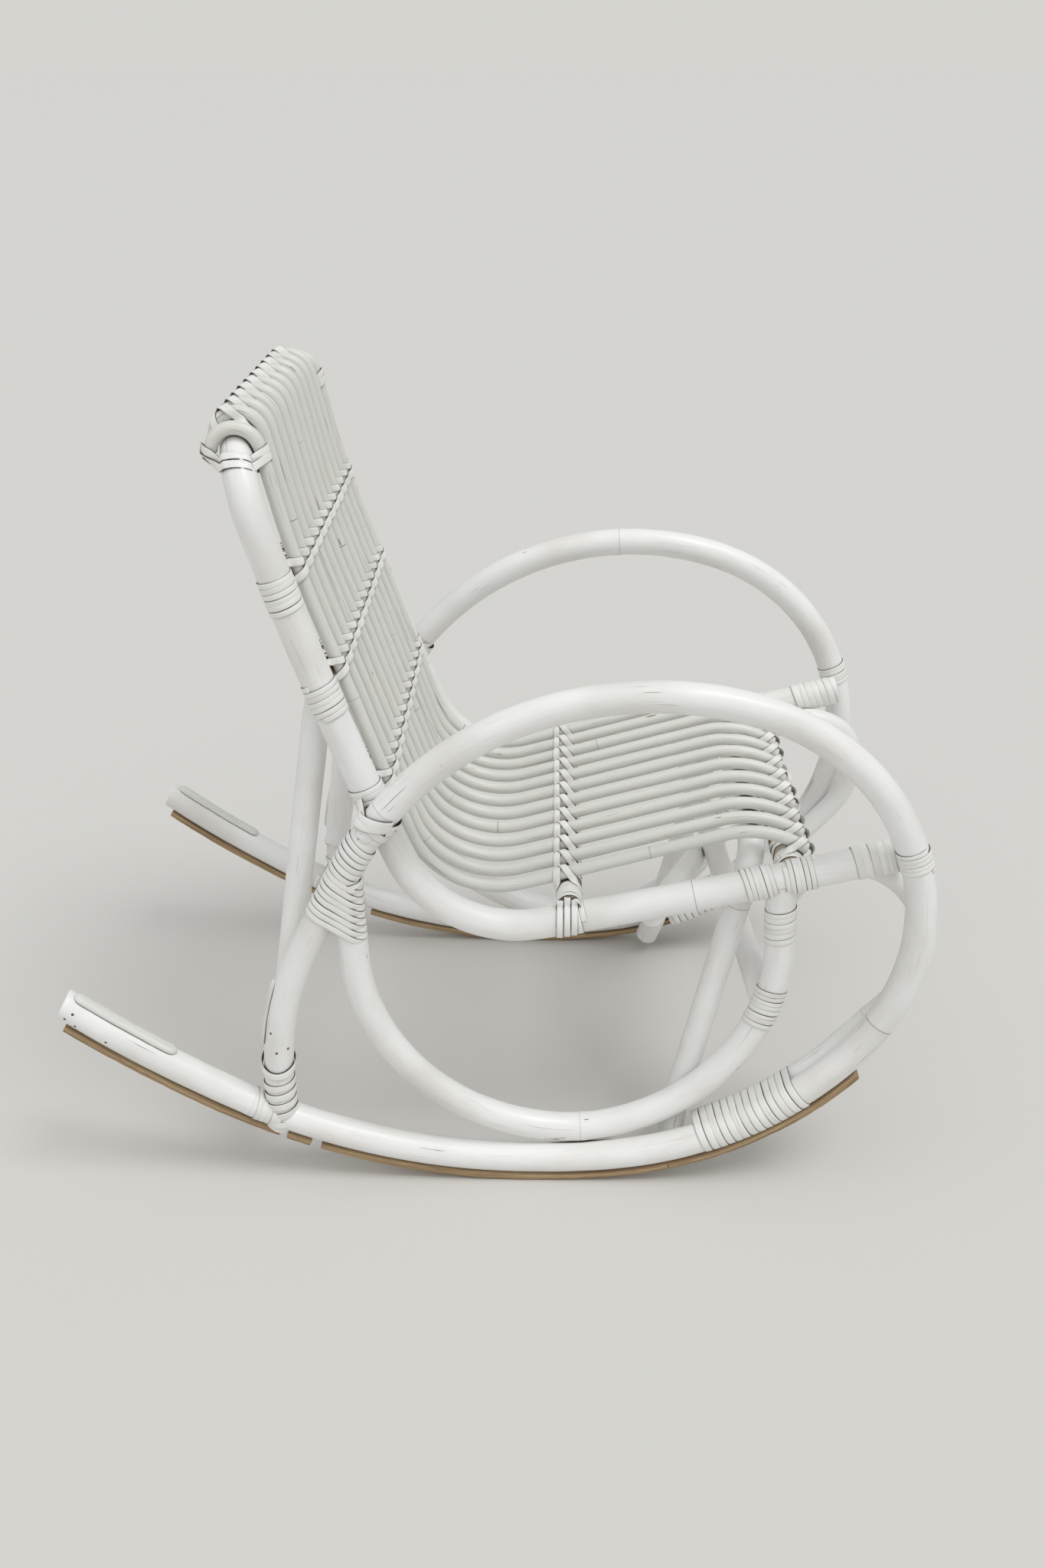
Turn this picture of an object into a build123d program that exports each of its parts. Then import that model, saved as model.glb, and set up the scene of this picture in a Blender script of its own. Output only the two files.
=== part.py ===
"""Hoop back rocking chair of bent rattan poles, peel-lashed, one solid per physical piece.

Frame: +Z up, the sitter faces -Y, X runs across the seat, and the floor is Z = 0.
Side outlines are drawn as (forward, up) in a plane beside the chair. The right side is -X.
"""
from build123d import *
from math import atan2, cos, degrees, hypot, radians, sin, sqrt, tan
import os

# Overall
HALF_TRACK = 265.0          # from the middle of the chair to the plane of each side hoop
FIT = 0.15                  # gap between poles that bear on each other
WRAP_FIT = 0.11             # gap between a lashing and its poles; over half of FIT, so that bores meet

# Pole and peel sizes
HOOP_D = 34.0
LOOP_D = 33.0
FRAME_D = 35.0
BRACE_D = 30.0
FRONT_BRACE_D = 27.0
BAR_D = 26.0
FRONT_BAR_D = 30.0
DIAGONAL_D = 28.0
CANE_D = 14.0
PEEL = 1.6                  # thickness of a lashing laid round a pole

# Side hoop: rocker, front curve, armrest and rear leg in one pole, from the tail forwards
TAIL = (-541.0, 234.0)      # forward, up
TAIL_HEADING = -38.2
TAIL_RADIUS, TAIL_TURN = 1345.0, 9.0
ROCKER_RADIUS, ROCKER_TURN = 710.0, 38.0
TOE_RADIUS, TOE_TURN = 400.0, 42.0
FRONT_RADIUS, FRONT_TURN = 262.0, 112.3
ARM_RADIUS, ARM_TURN = 361.0, 79.6
ARM_STRAIGHT = 101.0
LEG_RADIUS, LEG_TURN = 413.0, 44.0   # drawn past the rocker, and cut where it stands on it
LEG_GAP = 0.4               # the foot of the leg stands this far above the rocker it is lashed to

# Lower loop: hangs from the rear joint, rests on the rocker and carries the seat rail in front
LOOP_REAR_FORWARD = -217.0
LOOP_HEADING = -88.0
LOOP_DROP = 99.0
LOOP_HEEL_RADIUS, LOOP_HEEL_TURN = 257.0, 84.0
LOOP_BELLY_RADIUS, LOOP_BELLY_TURN = 160.0, 14.0
LOOP_TOE_RADIUS, LOOP_TOE_TURN = 233.0, 83.0
LOOP_RISE = 78.0

# Hoop back frame: seat rail, post, top rail, post and seat rail in one pole
RAIL_FRONT = (384.0, 416.5)
RAIL_HEADING = 194.7
RAIL_RADIUS, RAIL_TURN = 8075.0, 2.87
SEAT_BEND_RADIUS, SEAT_BEND_TURN = 135.0, 79.4
POST_RADIUS, POST_TURN = 3950.0, 5.6
TOP_CORNER_RADIUS = 80.0

# Canes
CANE_COUNT = 12
CANE_SPREAD = 390.0         # between the axes of the first and the last cane
UPPER_STANDOFF = 15.5       # from the post's axis forward to a cane's axis, at the upper bar
MIDDLE_STANDOFF = 18.0      # the same at the middle bar
SEAT_LIFT_REAR = 38.5       # from the rail's axis up to a cane's axis at the seat bar
SEAT_LIFT_FRONT = 51.0      # the same at the crown
CROWN_FORWARD = 234.0
SEAT_BEND = 100.0
BACK_BOW = 1200.0
CROWN_BEND = 105.0
FRONT_DROP_HEADING = -31.0
FRONT_DROP = 56.0
HOOK_ANGLE = 165.0          # how far a cane turns over the top rail

# Crossbars: heights of the back bars, and how far forward the seat bars lie
UPPER_BAR_HEIGHT = 718.0
MIDDLE_BAR_HEIGHT = 612.0
LOWER_BAR_HEIGHT = 484.0
SEAT_BAR_FORWARD = 16.0
FRONT_BAR_FORWARD = 274.0
ARCH_FORWARD = 228.0
BAR_LIP = 6.0               # how far short of the post's axis a bar's end stops

# Arches under the seat and behind the back
ARCH_FOOT_FORWARD = 142.0
ARCH_SHOULDER = 190.0       # half the width between an arch's corners
ARCH_CORNER_RADIUS = 45.0
ARCH_KNEE_RADIUS = 100.0
ARCH_KNEE_DROP = 24.0       # how far below the lower loop the front arch bends to pass inside it
ARCH_FOOT_DROP = 20.0       # how far the front arch's foot reaches below the rocker's axis
REAR_FOOT_HEIGHT = 178.0
REAR_TIE_ANGLE = -102.0     # direction from the middle bar down to the rear arch's top

# Diagonal brace
DIAGONAL_FOOT_HEIGHT = 216.0
DIAGONAL_HEADS = (175.0, 112.0)    # forward, the right-hand foot's brace first
DIAGONAL_HEAD_DROP = 14.0

# Front brace: beside the rocker, past the front of the hoop and back under the rail
BRACE_START_FORWARD = 174.0
BRACE_LEAVE_FORWARD = 332.0
BRACE_LEAN = 14.0
BRACE_UNDER_RAIL = 133.7     # from the rail's underside down to where the brace leaves its straight rise
BRACE_KNEE_RADIUS, BRACE_KNEE_TURN = 115.0, 43.0
BRACE_CROOK_RADIUS, BRACE_CROOK_TURN = 80.0, 150.0

# Runner strips under the rocker, and splints on its tail and behind the leg
RUNNER_WIDTH = 24.0
RUNNER_THICKNESS = 7.0
RUNNER_SEAT = 0.1
RUNNER_SPANS = {
    "rear": [(-528.0, -299.0), (-294.0, -266.0)],
    "middle": [(-256.0, 133.0)],
    "front": [(134.5, 332.0)],
}
SPLINT_WIDTH = 16.0
SPLINT_THICKNESS = 4.5
TAIL_SPLINT = (5.0, 136.0)  # along the rocker, from the tail end
LEG_SPLINT = (78.0, 158.0)  # height above the foot of the leg

# Lashings, as spans along their poles
ROCKER_WRAP = (172.0, 292.0)          # forward
FOOT_WRAP = (8.0, 52.0)               # height above the foot of the leg
FOOT_STRAP = (-35.0, 3.0)             # forward of the foot of the leg
UPPER_POST_WRAP = (682.0, 726.0)      # height
MIDDLE_POST_WRAP = (570.0, 610.0)     # height
SEAT_RAIL_WRAP = (4.0, 40.0)          # forward
FRONT_RAIL_WRAP = (209.0, 288.0)      # forward
RAIL_END_WRAP = (326.0, 374.0)        # forward
HOOP_STRAP = (412.0, 444.0)           # height
LOOP_TOP_WRAP = (304.0, 352.0)        # height
DIAGONAL_WRAP = (190.0, 246.0)        # height
ARM_WRAP = (452.0, 490.0)             # height
REAR_JOINT_WRAP = (344.0, 446.0)      # height
LOOP_REAR_WRAP = 334.0                # lowest height of the same wrap on the loop alone

# Looking for places along a pole
HALVINGS = 50               # of the stretch in which a place is looked for
BEARING_STEPS = 400         # places along the loop that are tried on the rocker
UNDER_HEADING = 80.0        # the floor side of the hoop ends where it heads up this steeply
FRONT_HEADINGS = (30.0, 135.0)
LEG_HEADING = 190.0         # the rear leg begins past here
TINY = 1e-6

HOOP_R = HOOP_D / 2
LOOP_R = LOOP_D / 2
FRAME_R = FRAME_D / 2
FRONT_BAR_R = FRONT_BAR_D / 2
DIAGONAL_R = DIAGONAL_D / 2
BRACE_R = BRACE_D / 2
FRONT_BRACE_R = FRONT_BRACE_D / 2
BAR_R = BAR_D / 2
CANE_R = CANE_D / 2


class Chain:
    """A flat run of tangent straights and arcs. Each leg is (length, turn in degrees)."""

    def __init__(self, start, heading, legs):
        self.start = start
        self.heading = heading
        self.legs = [leg for leg in legs if leg[0] > TINY]
        self.length = sum(leg[0] for leg in self.legs)

    def stations(self):
        """Each leg's (place along the chain, x, y, heading, length, turn)."""
        place, (x, y), heading = 0.0, self.start, self.heading
        for length, turn in self.legs:
            yield place, x, y, heading, length, turn
            x, y, heading = step(x, y, heading, length, turn)
            place += length

    def at(self, place):
        """(x, y, heading) at a distance along the chain."""
        for begin, x, y, heading, length, turn in self.stations():
            if place <= begin + length or begin + length >= self.length - TINY:
                share = (place - begin) / length
                return step(x, y, heading, place - begin, turn * share)

    def part(self, first, last):
        """The stretch of the chain between two distances along it."""
        x, y, heading = self.at(first)
        legs = []
        for begin, _, _, _, length, turn in self.stations():
            inside = min(last, begin + length) - max(first, begin)
            if inside > 0:
                legs.append((inside, turn * inside / length))
        return Chain((x, y), heading, legs)

    def aside(self, distance):
        """The parallel chain that lies this far to the left."""
        x, y = beside(*self.at(0), distance)
        legs = [(length - distance * radians(turn), turn) for length, turn in self.legs]
        return Chain((x, y), self.heading, legs)

    def find(self, axis, value, first, last):
        """The distance along the chain, between two others, where x or y has this value."""
        low, high = first, last
        rising = self.at(last)[axis] > self.at(first)[axis]
        for _ in range(HALVINGS):
            middle = (low + high) / 2
            if (self.at(middle)[axis] < value) == rising:
                low = middle
            else:
                high = middle
        return (low + high) / 2


def step(x, y, heading, length, turn):
    """Where a leg that starts at (x, y) ends."""
    if abs(turn) < TINY:
        return x + length * cos(radians(heading)), y + length * sin(radians(heading)), heading
    radius = length / radians(turn)
    end = heading + turn
    x += radius * (sin(radians(end)) - sin(radians(heading)))
    y -= radius * (cos(radians(end)) - cos(radians(heading)))
    return x, y, end


def beside(x, y, heading, distance):
    """The point this far to the left of a heading."""
    return x - distance * sin(radians(heading)), y + distance * cos(radians(heading))


def bend(radius, turn):
    """A leg that turns by this angle at this radius."""
    return radius * abs(radians(turn)), turn


def rounded(points, radii):
    """The chain through a row of points, with each inner corner rounded to its radius."""
    headings = [degrees(atan2(b[1] - a[1], b[0] - a[0])) for a, b in zip(points, points[1:])]
    turns = [(b - a + 180) % 360 - 180 for a, b in zip(headings, headings[1:])]
    setbacks = [0.0] + [r * tan(radians(abs(t)) / 2) for r, t in zip(radii, turns)] + [0.0]
    legs = []
    for i, (a, b) in enumerate(zip(points, points[1:])):
        legs.append((hypot(b[0] - a[0], b[1] - a[1]) - setbacks[i] - setbacks[i + 1], 0.0))
        if i < len(turns):
            legs.append(bend(radii[i], turns[i]))
    return Chain(points[0], headings[0], legs)


def crossing(a, heading_a, b, heading_b):
    """Where the line from a along one heading meets the line from b along another."""
    ax, ay = cos(radians(heading_a)), sin(radians(heading_a))
    bx, by = cos(radians(heading_b)), sin(radians(heading_b))
    along = ((b[0] - a[0]) * by - (b[1] - a[1]) * bx) / (ax * by - ay * bx)
    return a[0] + along * ax, a[1] + along * ay


# Outlines of the side, before they are set on the floor

hoop = Chain(TAIL, TAIL_HEADING, [
    bend(TAIL_RADIUS, TAIL_TURN),
    bend(ROCKER_RADIUS, ROCKER_TURN),
    bend(TOE_RADIUS, TOE_TURN),
    bend(FRONT_RADIUS, FRONT_TURN),
    bend(ARM_RADIUS, ARM_TURN),
    (ARM_STRAIGHT, 0.0),
    bend(LEG_RADIUS, LEG_TURN),
])
ROCKER_END = sum(leg[0] for leg in hoop.legs[:3])
LEG_START = hoop.length - bend(LEG_RADIUS, LEG_TURN)[0]


def heading_place(chain, heading):
    """The distance along a chain that only turns left where it points this way."""
    for begin, _, _, start, length, turn in chain.stations():
        if turn > 0 and start <= heading <= start + turn:
            return begin + length * (heading - start) / turn


FLOOR = hoop.at(heading_place(hoop, 0.0))[1] - HOOP_R - RUNNER_SEAT - RUNNER_THICKNESS
ROCKER_REACH = heading_place(hoop, UNDER_HEADING)

frame_side = Chain(RAIL_FRONT, RAIL_HEADING, [
    bend(RAIL_RADIUS, -RAIL_TURN),
    bend(SEAT_BEND_RADIUS, -SEAT_BEND_TURN),
    bend(POST_RADIUS, -POST_TURN),
])
RAIL_END = bend(RAIL_RADIUS, RAIL_TURN)[0]
POST_START = RAIL_END + bend(SEAT_BEND_RADIUS, SEAT_BEND_TURN)[0]
POST_TOP = frame_side.at(frame_side.length)
TOP_RAIL = step(*POST_TOP, TOP_CORNER_RADIUS, 0.0)[:2]
FRAME_X = HALF_TRACK - HOOP_R - FRAME_R - FIT


def rail_at(forward):
    """Height of the seat rail's axis at a place."""
    return frame_side.at(frame_side.find(0, forward, 0.0, RAIL_END))[1]


def post_at(height):
    """How far forward the post's axis is at a height."""
    return frame_side.at(frame_side.find(1, height, POST_START, frame_side.length))


def rail_top(x):
    """(forward, up) that a cane at x hooks round: the top rail, or its corner where that drops."""
    into = abs(x) - (FRAME_X - TOP_CORNER_RADIUS)
    if into <= 0:
        return TOP_RAIL
    drop = TOP_CORNER_RADIUS - sqrt(TOP_CORNER_RADIUS ** 2 - into ** 2)
    slant = into / TOP_CORNER_RADIUS
    rise = (FRAME_R + CANE_R + FIT) * (1 / sqrt(1 - slant ** 2) - 1)
    return step(*TOP_RAIL, POST_TOP[2] + 180, drop - rise, 0.0)[:2]


def cane_outline(hold):
    """A cane from the rail that holds it, down to the seat and over its front edge."""
    upper = beside(*post_at(UPPER_BAR_HEIGHT), -UPPER_STANDOFF)
    x, y, heading = post_at(MIDDLE_BAR_HEIGHT)
    middle = beside(x, y, heading, -MIDDLE_STANDOFF)
    reach = FRAME_R + CANE_R + FIT
    gap = hypot(upper[0] - hold[0], upper[1] - hold[1])
    toward = degrees(atan2(hold[1] - upper[1], hold[0] - upper[0]))
    rise = toward - degrees(atan2(reach, sqrt(gap ** 2 - reach ** 2)))
    top = beside(*hold, rise, -reach)
    rear = (SEAT_BAR_FORWARD, rail_at(SEAT_BAR_FORWARD) + SEAT_LIFT_REAR)
    crown = (CROWN_FORWARD, rail_at(CROWN_FORWARD) + SEAT_LIFT_FRONT)
    slope = degrees(atan2(crown[1] - rear[1], crown[0] - rear[0]))
    corner = crossing(middle, heading + 180, rear, slope)
    tip = step(*crown, FRONT_DROP_HEADING, FRONT_DROP, 0.0)[:2]
    return rounded([top, upper, middle, corner, crown, tip], [BACK_BOW, BACK_BOW, SEAT_BEND, CROWN_BEND])


cane = cane_outline(TOP_RAIL)
seat_bend, *seat_legs = cane.legs[-4:]
CANE_TURN_AT = cane.length - sum(leg[0] for leg in seat_legs) - seat_bend[0] / 2


def under_cane(place, radius):
    """(forward, up) of the axis of a bar that bears on the back or underside of the canes."""
    return beside(*cane.at(place), -(CANE_R + radius + FIT))


def back_bar_axis(height):
    return under_cane(cane.find(1, height, 0.0, CANE_TURN_AT), BAR_R)


def seat_bar_axis(forward, radius):
    return under_cane(cane.find(0, forward, CANE_TURN_AT, cane.length), radius)


UPPER_BAR = back_bar_axis(UPPER_BAR_HEIGHT)
MIDDLE_BAR = back_bar_axis(MIDDLE_BAR_HEIGHT)
LOWER_BAR = back_bar_axis(LOWER_BAR_HEIGHT)
SEAT_BAR = seat_bar_axis(SEAT_BAR_FORWARD, BAR_R)
FRONT_BAR = seat_bar_axis(FRONT_BAR_FORWARD, FRONT_BAR_R)
ARCH_TOP = seat_bar_axis(ARCH_FORWARD, BRACE_R)


def rocker_under(forward):
    """(forward, up, heading) of the hoop's axis on the floor side."""
    return hoop.at(hoop.find(0, forward, 0.0, ROCKER_REACH))


# The lower loop leans inwards from the rear joint to the seat rail. It is drawn in its own
# plane, and set down on the rocker so that it just bears on it.

def loop_outline(rise):
    return Chain((0.0, rise), LOOP_HEADING, [
        (LOOP_DROP, 0.0),
        bend(LOOP_HEEL_RADIUS, LOOP_HEEL_TURN),
        bend(LOOP_BELLY_RADIUS, LOOP_BELLY_TURN),
        bend(LOOP_TOE_RADIUS, LOOP_TOE_TURN),
        (LOOP_RISE, 0.0),
    ])


LOOP_SPAN = loop_outline(0.0).at(loop_outline(0.0).length)[0]
LOOP_YAW = degrees(atan2(HALF_TRACK - FRAME_X, LOOP_SPAN))


def loop_bearing():
    """Height of the loop's start at which its belly touches the rocker."""
    shape = loop_outline(0.0)
    reach = HOOP_R + LOOP_R + FIT
    rises = []
    for i in range(BEARING_STEPS):
        along, up, _ = shape.at(shape.length * i / BEARING_STEPS)
        aside = along * sin(radians(LOOP_YAW))
        forward = LOOP_REAR_FORWARD + along * cos(radians(LOOP_YAW))
        if aside < reach:
            axis_gap = sqrt(reach ** 2 - aside ** 2)
            _, under, heading = rocker_under(forward)
            rises.append(under + axis_gap / cos(radians(heading)) - up)
    return max(rises)


loop = loop_outline(loop_bearing())


BRACE_X = HALF_TRACK - HOOP_R - FRONT_BRACE_R - FIT
brace_start = hoop.find(0, BRACE_START_FORWARD, 0.0, ROCKER_END)
brace_leave = hoop.find(0, BRACE_LEAVE_FORWARD, 0.0, ROCKER_REACH)
BRACE_CROOK_LEGS = [
    (rail_at(BRACE_LEAVE_FORWARD) - FRAME_R - BRACE_UNDER_RAIL - hoop.at(brace_leave)[1], 0.0),
    bend(BRACE_KNEE_RADIUS, BRACE_KNEE_TURN),
    bend(BRACE_CROOK_RADIUS, BRACE_CROOK_TURN),
]
brace_crook = Chain(hoop.at(brace_leave)[:2], hoop.at(brace_leave)[2], BRACE_CROOK_LEGS)


def leg_foot():
    """The distance along the hoop at which its rear leg comes down onto the rocker."""
    low, high = LEG_START, hoop.length
    for _ in range(HALVINGS):
        middle = (low + high) / 2
        forward, up, _ = hoop.at(middle)
        _, under, heading = rocker_under(forward)
        if up > under + (HOOP_R + LEG_GAP) / cos(radians(heading)):
            low = middle
        else:
            high = middle
    return low


LEG_FOOT = hoop.at(leg_foot())
ARCH_FOOT_X = HALF_TRACK - HOOP_R - BRACE_R - FIT
FRONT_ARCH_FOOT = (ARCH_FOOT_FORWARD, rocker_under(ARCH_FOOT_FORWARD)[1] - ARCH_FOOT_DROP)


def arch_knee():
    """(half width, distance up the slope) where the front arch bends to pass inside the loop."""
    forward, up = FRONT_ARCH_FOOT
    slope = atan2(ARCH_TOP[1] - up, ARCH_TOP[0] - forward)
    low, high = loop.length / 2, loop.length
    for _ in range(HALVINGS):
        middle = (low + high) / 2
        along, height, _ = loop.at(middle)
        ahead = LOOP_REAR_FORWARD + along * cos(radians(LOOP_YAW)) - forward
        if (height - up) * cos(slope) > ahead * sin(slope):
            low = middle
        else:
            high = middle
    crossing_at = ahead * cos(slope) + (height - up) * sin(slope)
    clear = HALF_TRACK - along * sin(radians(LOOP_YAW)) - LOOP_R - BRACE_R - 2 * FIT
    rise = hypot(ARCH_TOP[0] - forward, ARCH_TOP[1] - up)
    widening = (clear - ARCH_SHOULDER) * ARCH_KNEE_DROP / (rise - crossing_at)
    return clear + widening, crossing_at - ARCH_KNEE_DROP


TAIL_END = beside(*hoop.at(0.0), -HOOP_R)
FRONT_END_FORWARD = brace_crook.at(heading_place(brace_crook, 90.0))[0] + FRONT_BRACE_R
MIDDLE = (TAIL_END[0] + FRONT_END_FORWARD) / 2


def side_plane(x, yaw=0.0, forward=0.0):
    """The plane beside the chair, with forward along its x and up along its y."""
    ahead = (sin(radians(yaw)), -cos(radians(yaw)), 0.0)
    normal = (-cos(radians(yaw)), -sin(radians(yaw)), 0.0)
    return Plane(origin=(x, MIDDLE - forward, -FLOOR), x_dir=ahead, z_dir=normal)


def place(x, forward, up):
    """A point of the chair from its side outline."""
    return Vector(x, MIDDLE - forward, up - FLOOR)


def draw(chain):
    """Adds the chain's edges to the open line."""
    for _, x, y, heading, length, turn in chain.stations():
        tangent = (cos(radians(heading)), sin(radians(heading)))
        if turn:
            JernArc(start=(x, y), tangent=tangent, radius=length / abs(radians(turn)), arc_size=turn)
        else:
            Line((x, y), (x + length * tangent[0], y + length * tangent[1]))


def section_plane(wire):
    """The plane across the start of a wire, with its x across the chair."""
    along = wire % 0
    across = Vector(1, 0, 0) - along * along.X
    return Plane(origin=wire @ 0, x_dir=across, z_dir=along)


def pole(wire, radius, bore=0.0):
    """A round pole along a wire, or a sleeve if it has a bore."""
    with BuildPart() as made:
        with BuildSketch(section_plane(wire)):
            Circle(radius)
            if bore:
                Circle(bore, mode=Mode.SUBTRACT)
        sweep(path=wire)
    return made.part


def side_wire(plane, *chains):
    """One wire through chains drawn in a side plane."""
    with BuildLine(plane) as line:
        for chain in chains:
            draw(chain)
    return line.wire()


def cut(piece, *tools):
    """A piece with the room of its neighbours taken out of it."""
    with BuildPart() as made:
        add(piece)
        for tool in tools:
            add(tool, mode=Mode.SUBTRACT)
    return made.part


def largest(piece):
    """The main solid of a piece, without what its neighbours cut off behind them."""
    return piece.solids().sort_by(SortBy.VOLUME)[-1]


def write(piece, label):
    piece.label = label
    export_step(piece, f"parts/{label}.step")


def write_pair(piece, label):
    """Writes a right-hand piece and its mirror image on the left."""
    write(piece, f"right_{label}")
    write(mirror(piece, about=Plane.YZ), f"left_{label}")


RIGHT = side_plane(-HALF_TRACK)
RIGHT_FRAME = side_plane(-FRAME_X)
RIGHT_LOOP = side_plane(-HALF_TRACK, yaw=LOOP_YAW, forward=LOOP_REAR_FORWARD)
RIGHT_BRACE = side_plane(-BRACE_X)
crook_ahead = Vector(0, -cos(radians(brace_crook.heading)), sin(radians(brace_crook.heading)))
crook_left = Vector(0, sin(radians(brace_crook.heading)), cos(radians(brace_crook.heading)))
BRACE_CROOK = Plane(
    origin=place(-BRACE_X, *brace_crook.start),
    x_dir=crook_ahead,
    z_dir=Vector(-cos(radians(BRACE_LEAN)), 0, 0) + crook_left * sin(radians(BRACE_LEAN)),
)


def side_hoop(grow=0.0):
    """The hoop. Its rear leg ends on a slant that stands on the rocker."""
    with BuildPart() as made:
        leg = side_wire(RIGHT, hoop.part(LEG_START, hoop.length))
        add(pole(leg, HOOP_R + grow))
        under = radians(rocker_under(LEG_FOOT[0])[2])
        slant = (0.0, sin(under), cos(under))
        split(bisect_by=Plane(origin=place(-HALF_TRACK, *LEG_FOOT[:2]), z_dir=slant), keep=Keep.TOP)
        add(pole(side_wire(RIGHT, hoop.part(0.0, LEG_START)), HOOP_R + grow))
    return made.part


def back_frame(radius):
    """Seat rails, posts and top rail as one bent pole."""
    side = side_wire(RIGHT_FRAME, frame_side)
    top, up = side @ 1, side % 1
    corner_plane = Plane(origin=top, x_dir=up, z_dir=up.cross(Vector(1, 0, 0)))
    with BuildLine(corner_plane) as across:
        JernArc(start=(0, 0), tangent=(1, 0), radius=TOP_CORNER_RADIUS, arc_size=90)
        Line((TOP_CORNER_RADIUS, TOP_CORNER_RADIUS), (TOP_CORNER_RADIUS, FRAME_X))
    with BuildPart() as made:
        add(pole(side, radius))
        add(pole(across.wire(), radius))
        mirror(about=Plane.YZ)
    return made.part


def cane_piece(x):
    """A cane hooked over the top rail."""
    outline = cane_outline(rail_top(x))
    top = outline.at(0.0)
    hook = Chain(top[:2], top[2] + 180, [bend(FRAME_R + CANE_R + FIT, HOOK_ANGLE)])
    tail_x, tail_y, tail_heading = hook.at(hook.length)
    over = Chain((tail_x, tail_y), tail_heading + 180, [bend(FRAME_R + CANE_R + FIT, -HOOK_ANGLE)])
    return pole(side_wire(side_plane(x), over, outline), CANE_R)


def crossbar(axis, radius):
    """A straight bar between the side poles, before its ends are cut to sit on them."""
    reach = FRAME_X - BAR_LIP
    with BuildPart() as made:
        with BuildSketch(Plane(origin=place(-reach, *axis), z_dir=(1, 0, 0))):
            Circle(radius)
        extrude(amount=2 * reach)
    return made.part


def arch(foot, foot_x, top, knees=()):
    """A bent pole with two feet and a level top, in one slanting plane.

    Knees are (half width, how far up the slope) where each leg bends.
    """
    low, high = place(0, *foot), place(0, *top)
    rise = (high - low).length
    plane = Plane(origin=low, x_dir=(1, 0, 0), z_dir=Vector(1, 0, 0).cross(high - low))
    half = [(foot_x, 0.0), *knees, (ARCH_SHOULDER, rise)]
    points = [(-x, y) for x, y in half] + half[::-1]
    radii = [ARCH_KNEE_RADIUS] * len(knees) + [ARCH_CORNER_RADIUS]
    with BuildLine(plane) as line:
        FilletPolyline(*points, radius=radii + radii[::-1])
    return pole(line.wire(), BRACE_R)


def front_brace(grow=0.0):
    """The pole beside the rocker that crooks back under the seat rail."""
    lower = side_wire(RIGHT_BRACE, hoop.part(brace_start, brace_leave))
    upper = side_wire(BRACE_CROOK, Chain((0.0, 0.0), 0.0, BRACE_CROOK_LEGS))
    with BuildPart() as made:
        add(pole(lower, FRONT_BRACE_R + grow))
        add(pole(upper, FRONT_BRACE_R + grow))
    return made.part


def diagonal_brace(side, head_forward, grow=0.0):
    """From the front of one side's loop up to the other side's seat rail."""
    foot_at = loop.find(1, DIAGONAL_FOOT_HEIGHT, loop.length / 2, loop.length)
    foot = RIGHT_LOOP.from_local_coords(Vector(*loop.at(foot_at)[:2], 0))
    foot = Vector(foot.X * side, foot.Y, foot.Z)
    head = place(FRAME_X * side, head_forward, rail_at(head_forward) - DIAGONAL_HEAD_DROP)
    with BuildPart() as made:
        with BuildSketch(Plane(origin=foot, z_dir=head - foot)):
            Circle(DIAGONAL_R + grow)
        extrude(amount=(head - foot).length)
    return made.part


def runner_strip(spans, grow=0.0):
    """Flat strips under the rocker."""
    depth = HOOP_R + RUNNER_SEAT + RUNNER_THICKNESS / 2
    with BuildPart() as made:
        for span in spans:
            wire = side_wire(RIGHT, along_rocker(*span).aside(-depth))
            with BuildSketch(section_plane(wire)):
                Rectangle(RUNNER_WIDTH + 2 * grow, RUNNER_THICKNESS + 2 * grow)
            sweep(path=wire)
    return made.part


def splint(stretch, side, inner):
    """A half-round slip nailed along the hoop, on the left (1) or right (-1) of its heading."""
    wire = side_wire(RIGHT, stretch.aside(side * (HOOP_R + FIT)))
    with BuildPart() as made:
        with BuildSketch(section_plane(wire)):
            Ellipse(SPLINT_WIDTH / 2, SPLINT_THICKNESS)
            Rectangle(SPLINT_WIDTH, SPLINT_THICKNESS, align=(Align.CENTER, inner), mode=Mode.SUBTRACT)
        sweep(path=wire)
    return made.part


def sleeve(plane, chain, radius):
    """A lashing laid round one pole."""
    return pole(side_wire(plane, chain), radius + PEEL)


def lashing(sleeves, *tools):
    """Sleeves grown together, with the room of the poles they hold taken out."""
    with BuildPart() as made:
        for turn in sleeves:
            add(turn)
        for tool in tools:
            add(tool, mode=Mode.SUBTRACT)
    return made.part


def along_rocker(first_forward, last_forward):
    """The stretch of the hoop between two places on the floor side."""
    first = hoop.find(0, first_forward, 0.0, ROCKER_REACH)
    return hoop.part(first, hoop.find(0, last_forward, 0.0, ROCKER_REACH))


def along_leg(low, high):
    first, last = heading_place(hoop, LEG_HEADING), hoop.length
    return hoop.part(hoop.find(1, high, first, last), hoop.find(1, low, first, last))


def along_front(low, high):
    first, last = (heading_place(hoop, heading) for heading in FRONT_HEADINGS)
    return hoop.part(hoop.find(1, low, first, last), hoop.find(1, high, first, last))


def along_post(low, high):
    first, last = POST_START, frame_side.length
    return frame_side.part(frame_side.find(1, low, first, last), frame_side.find(1, high, first, last))


def along_rail(rear, front):
    return frame_side.part(frame_side.find(0, front, 0.0, RAIL_END), frame_side.find(0, rear, 0.0, RAIL_END))


def along_loop_rear(low, high):
    half = loop.length / 2
    return loop.part(loop.find(1, high, 0.0, half), loop.find(1, low, 0.0, half))


def along_loop_front(low, high):
    half = loop.length / 2
    return loop.part(loop.find(1, low, half, loop.length), loop.find(1, high, half, loop.length))


os.makedirs("parts", exist_ok=True)

# Poles, each with a slightly fatter twin that makes room for it in what is laid against it

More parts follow.
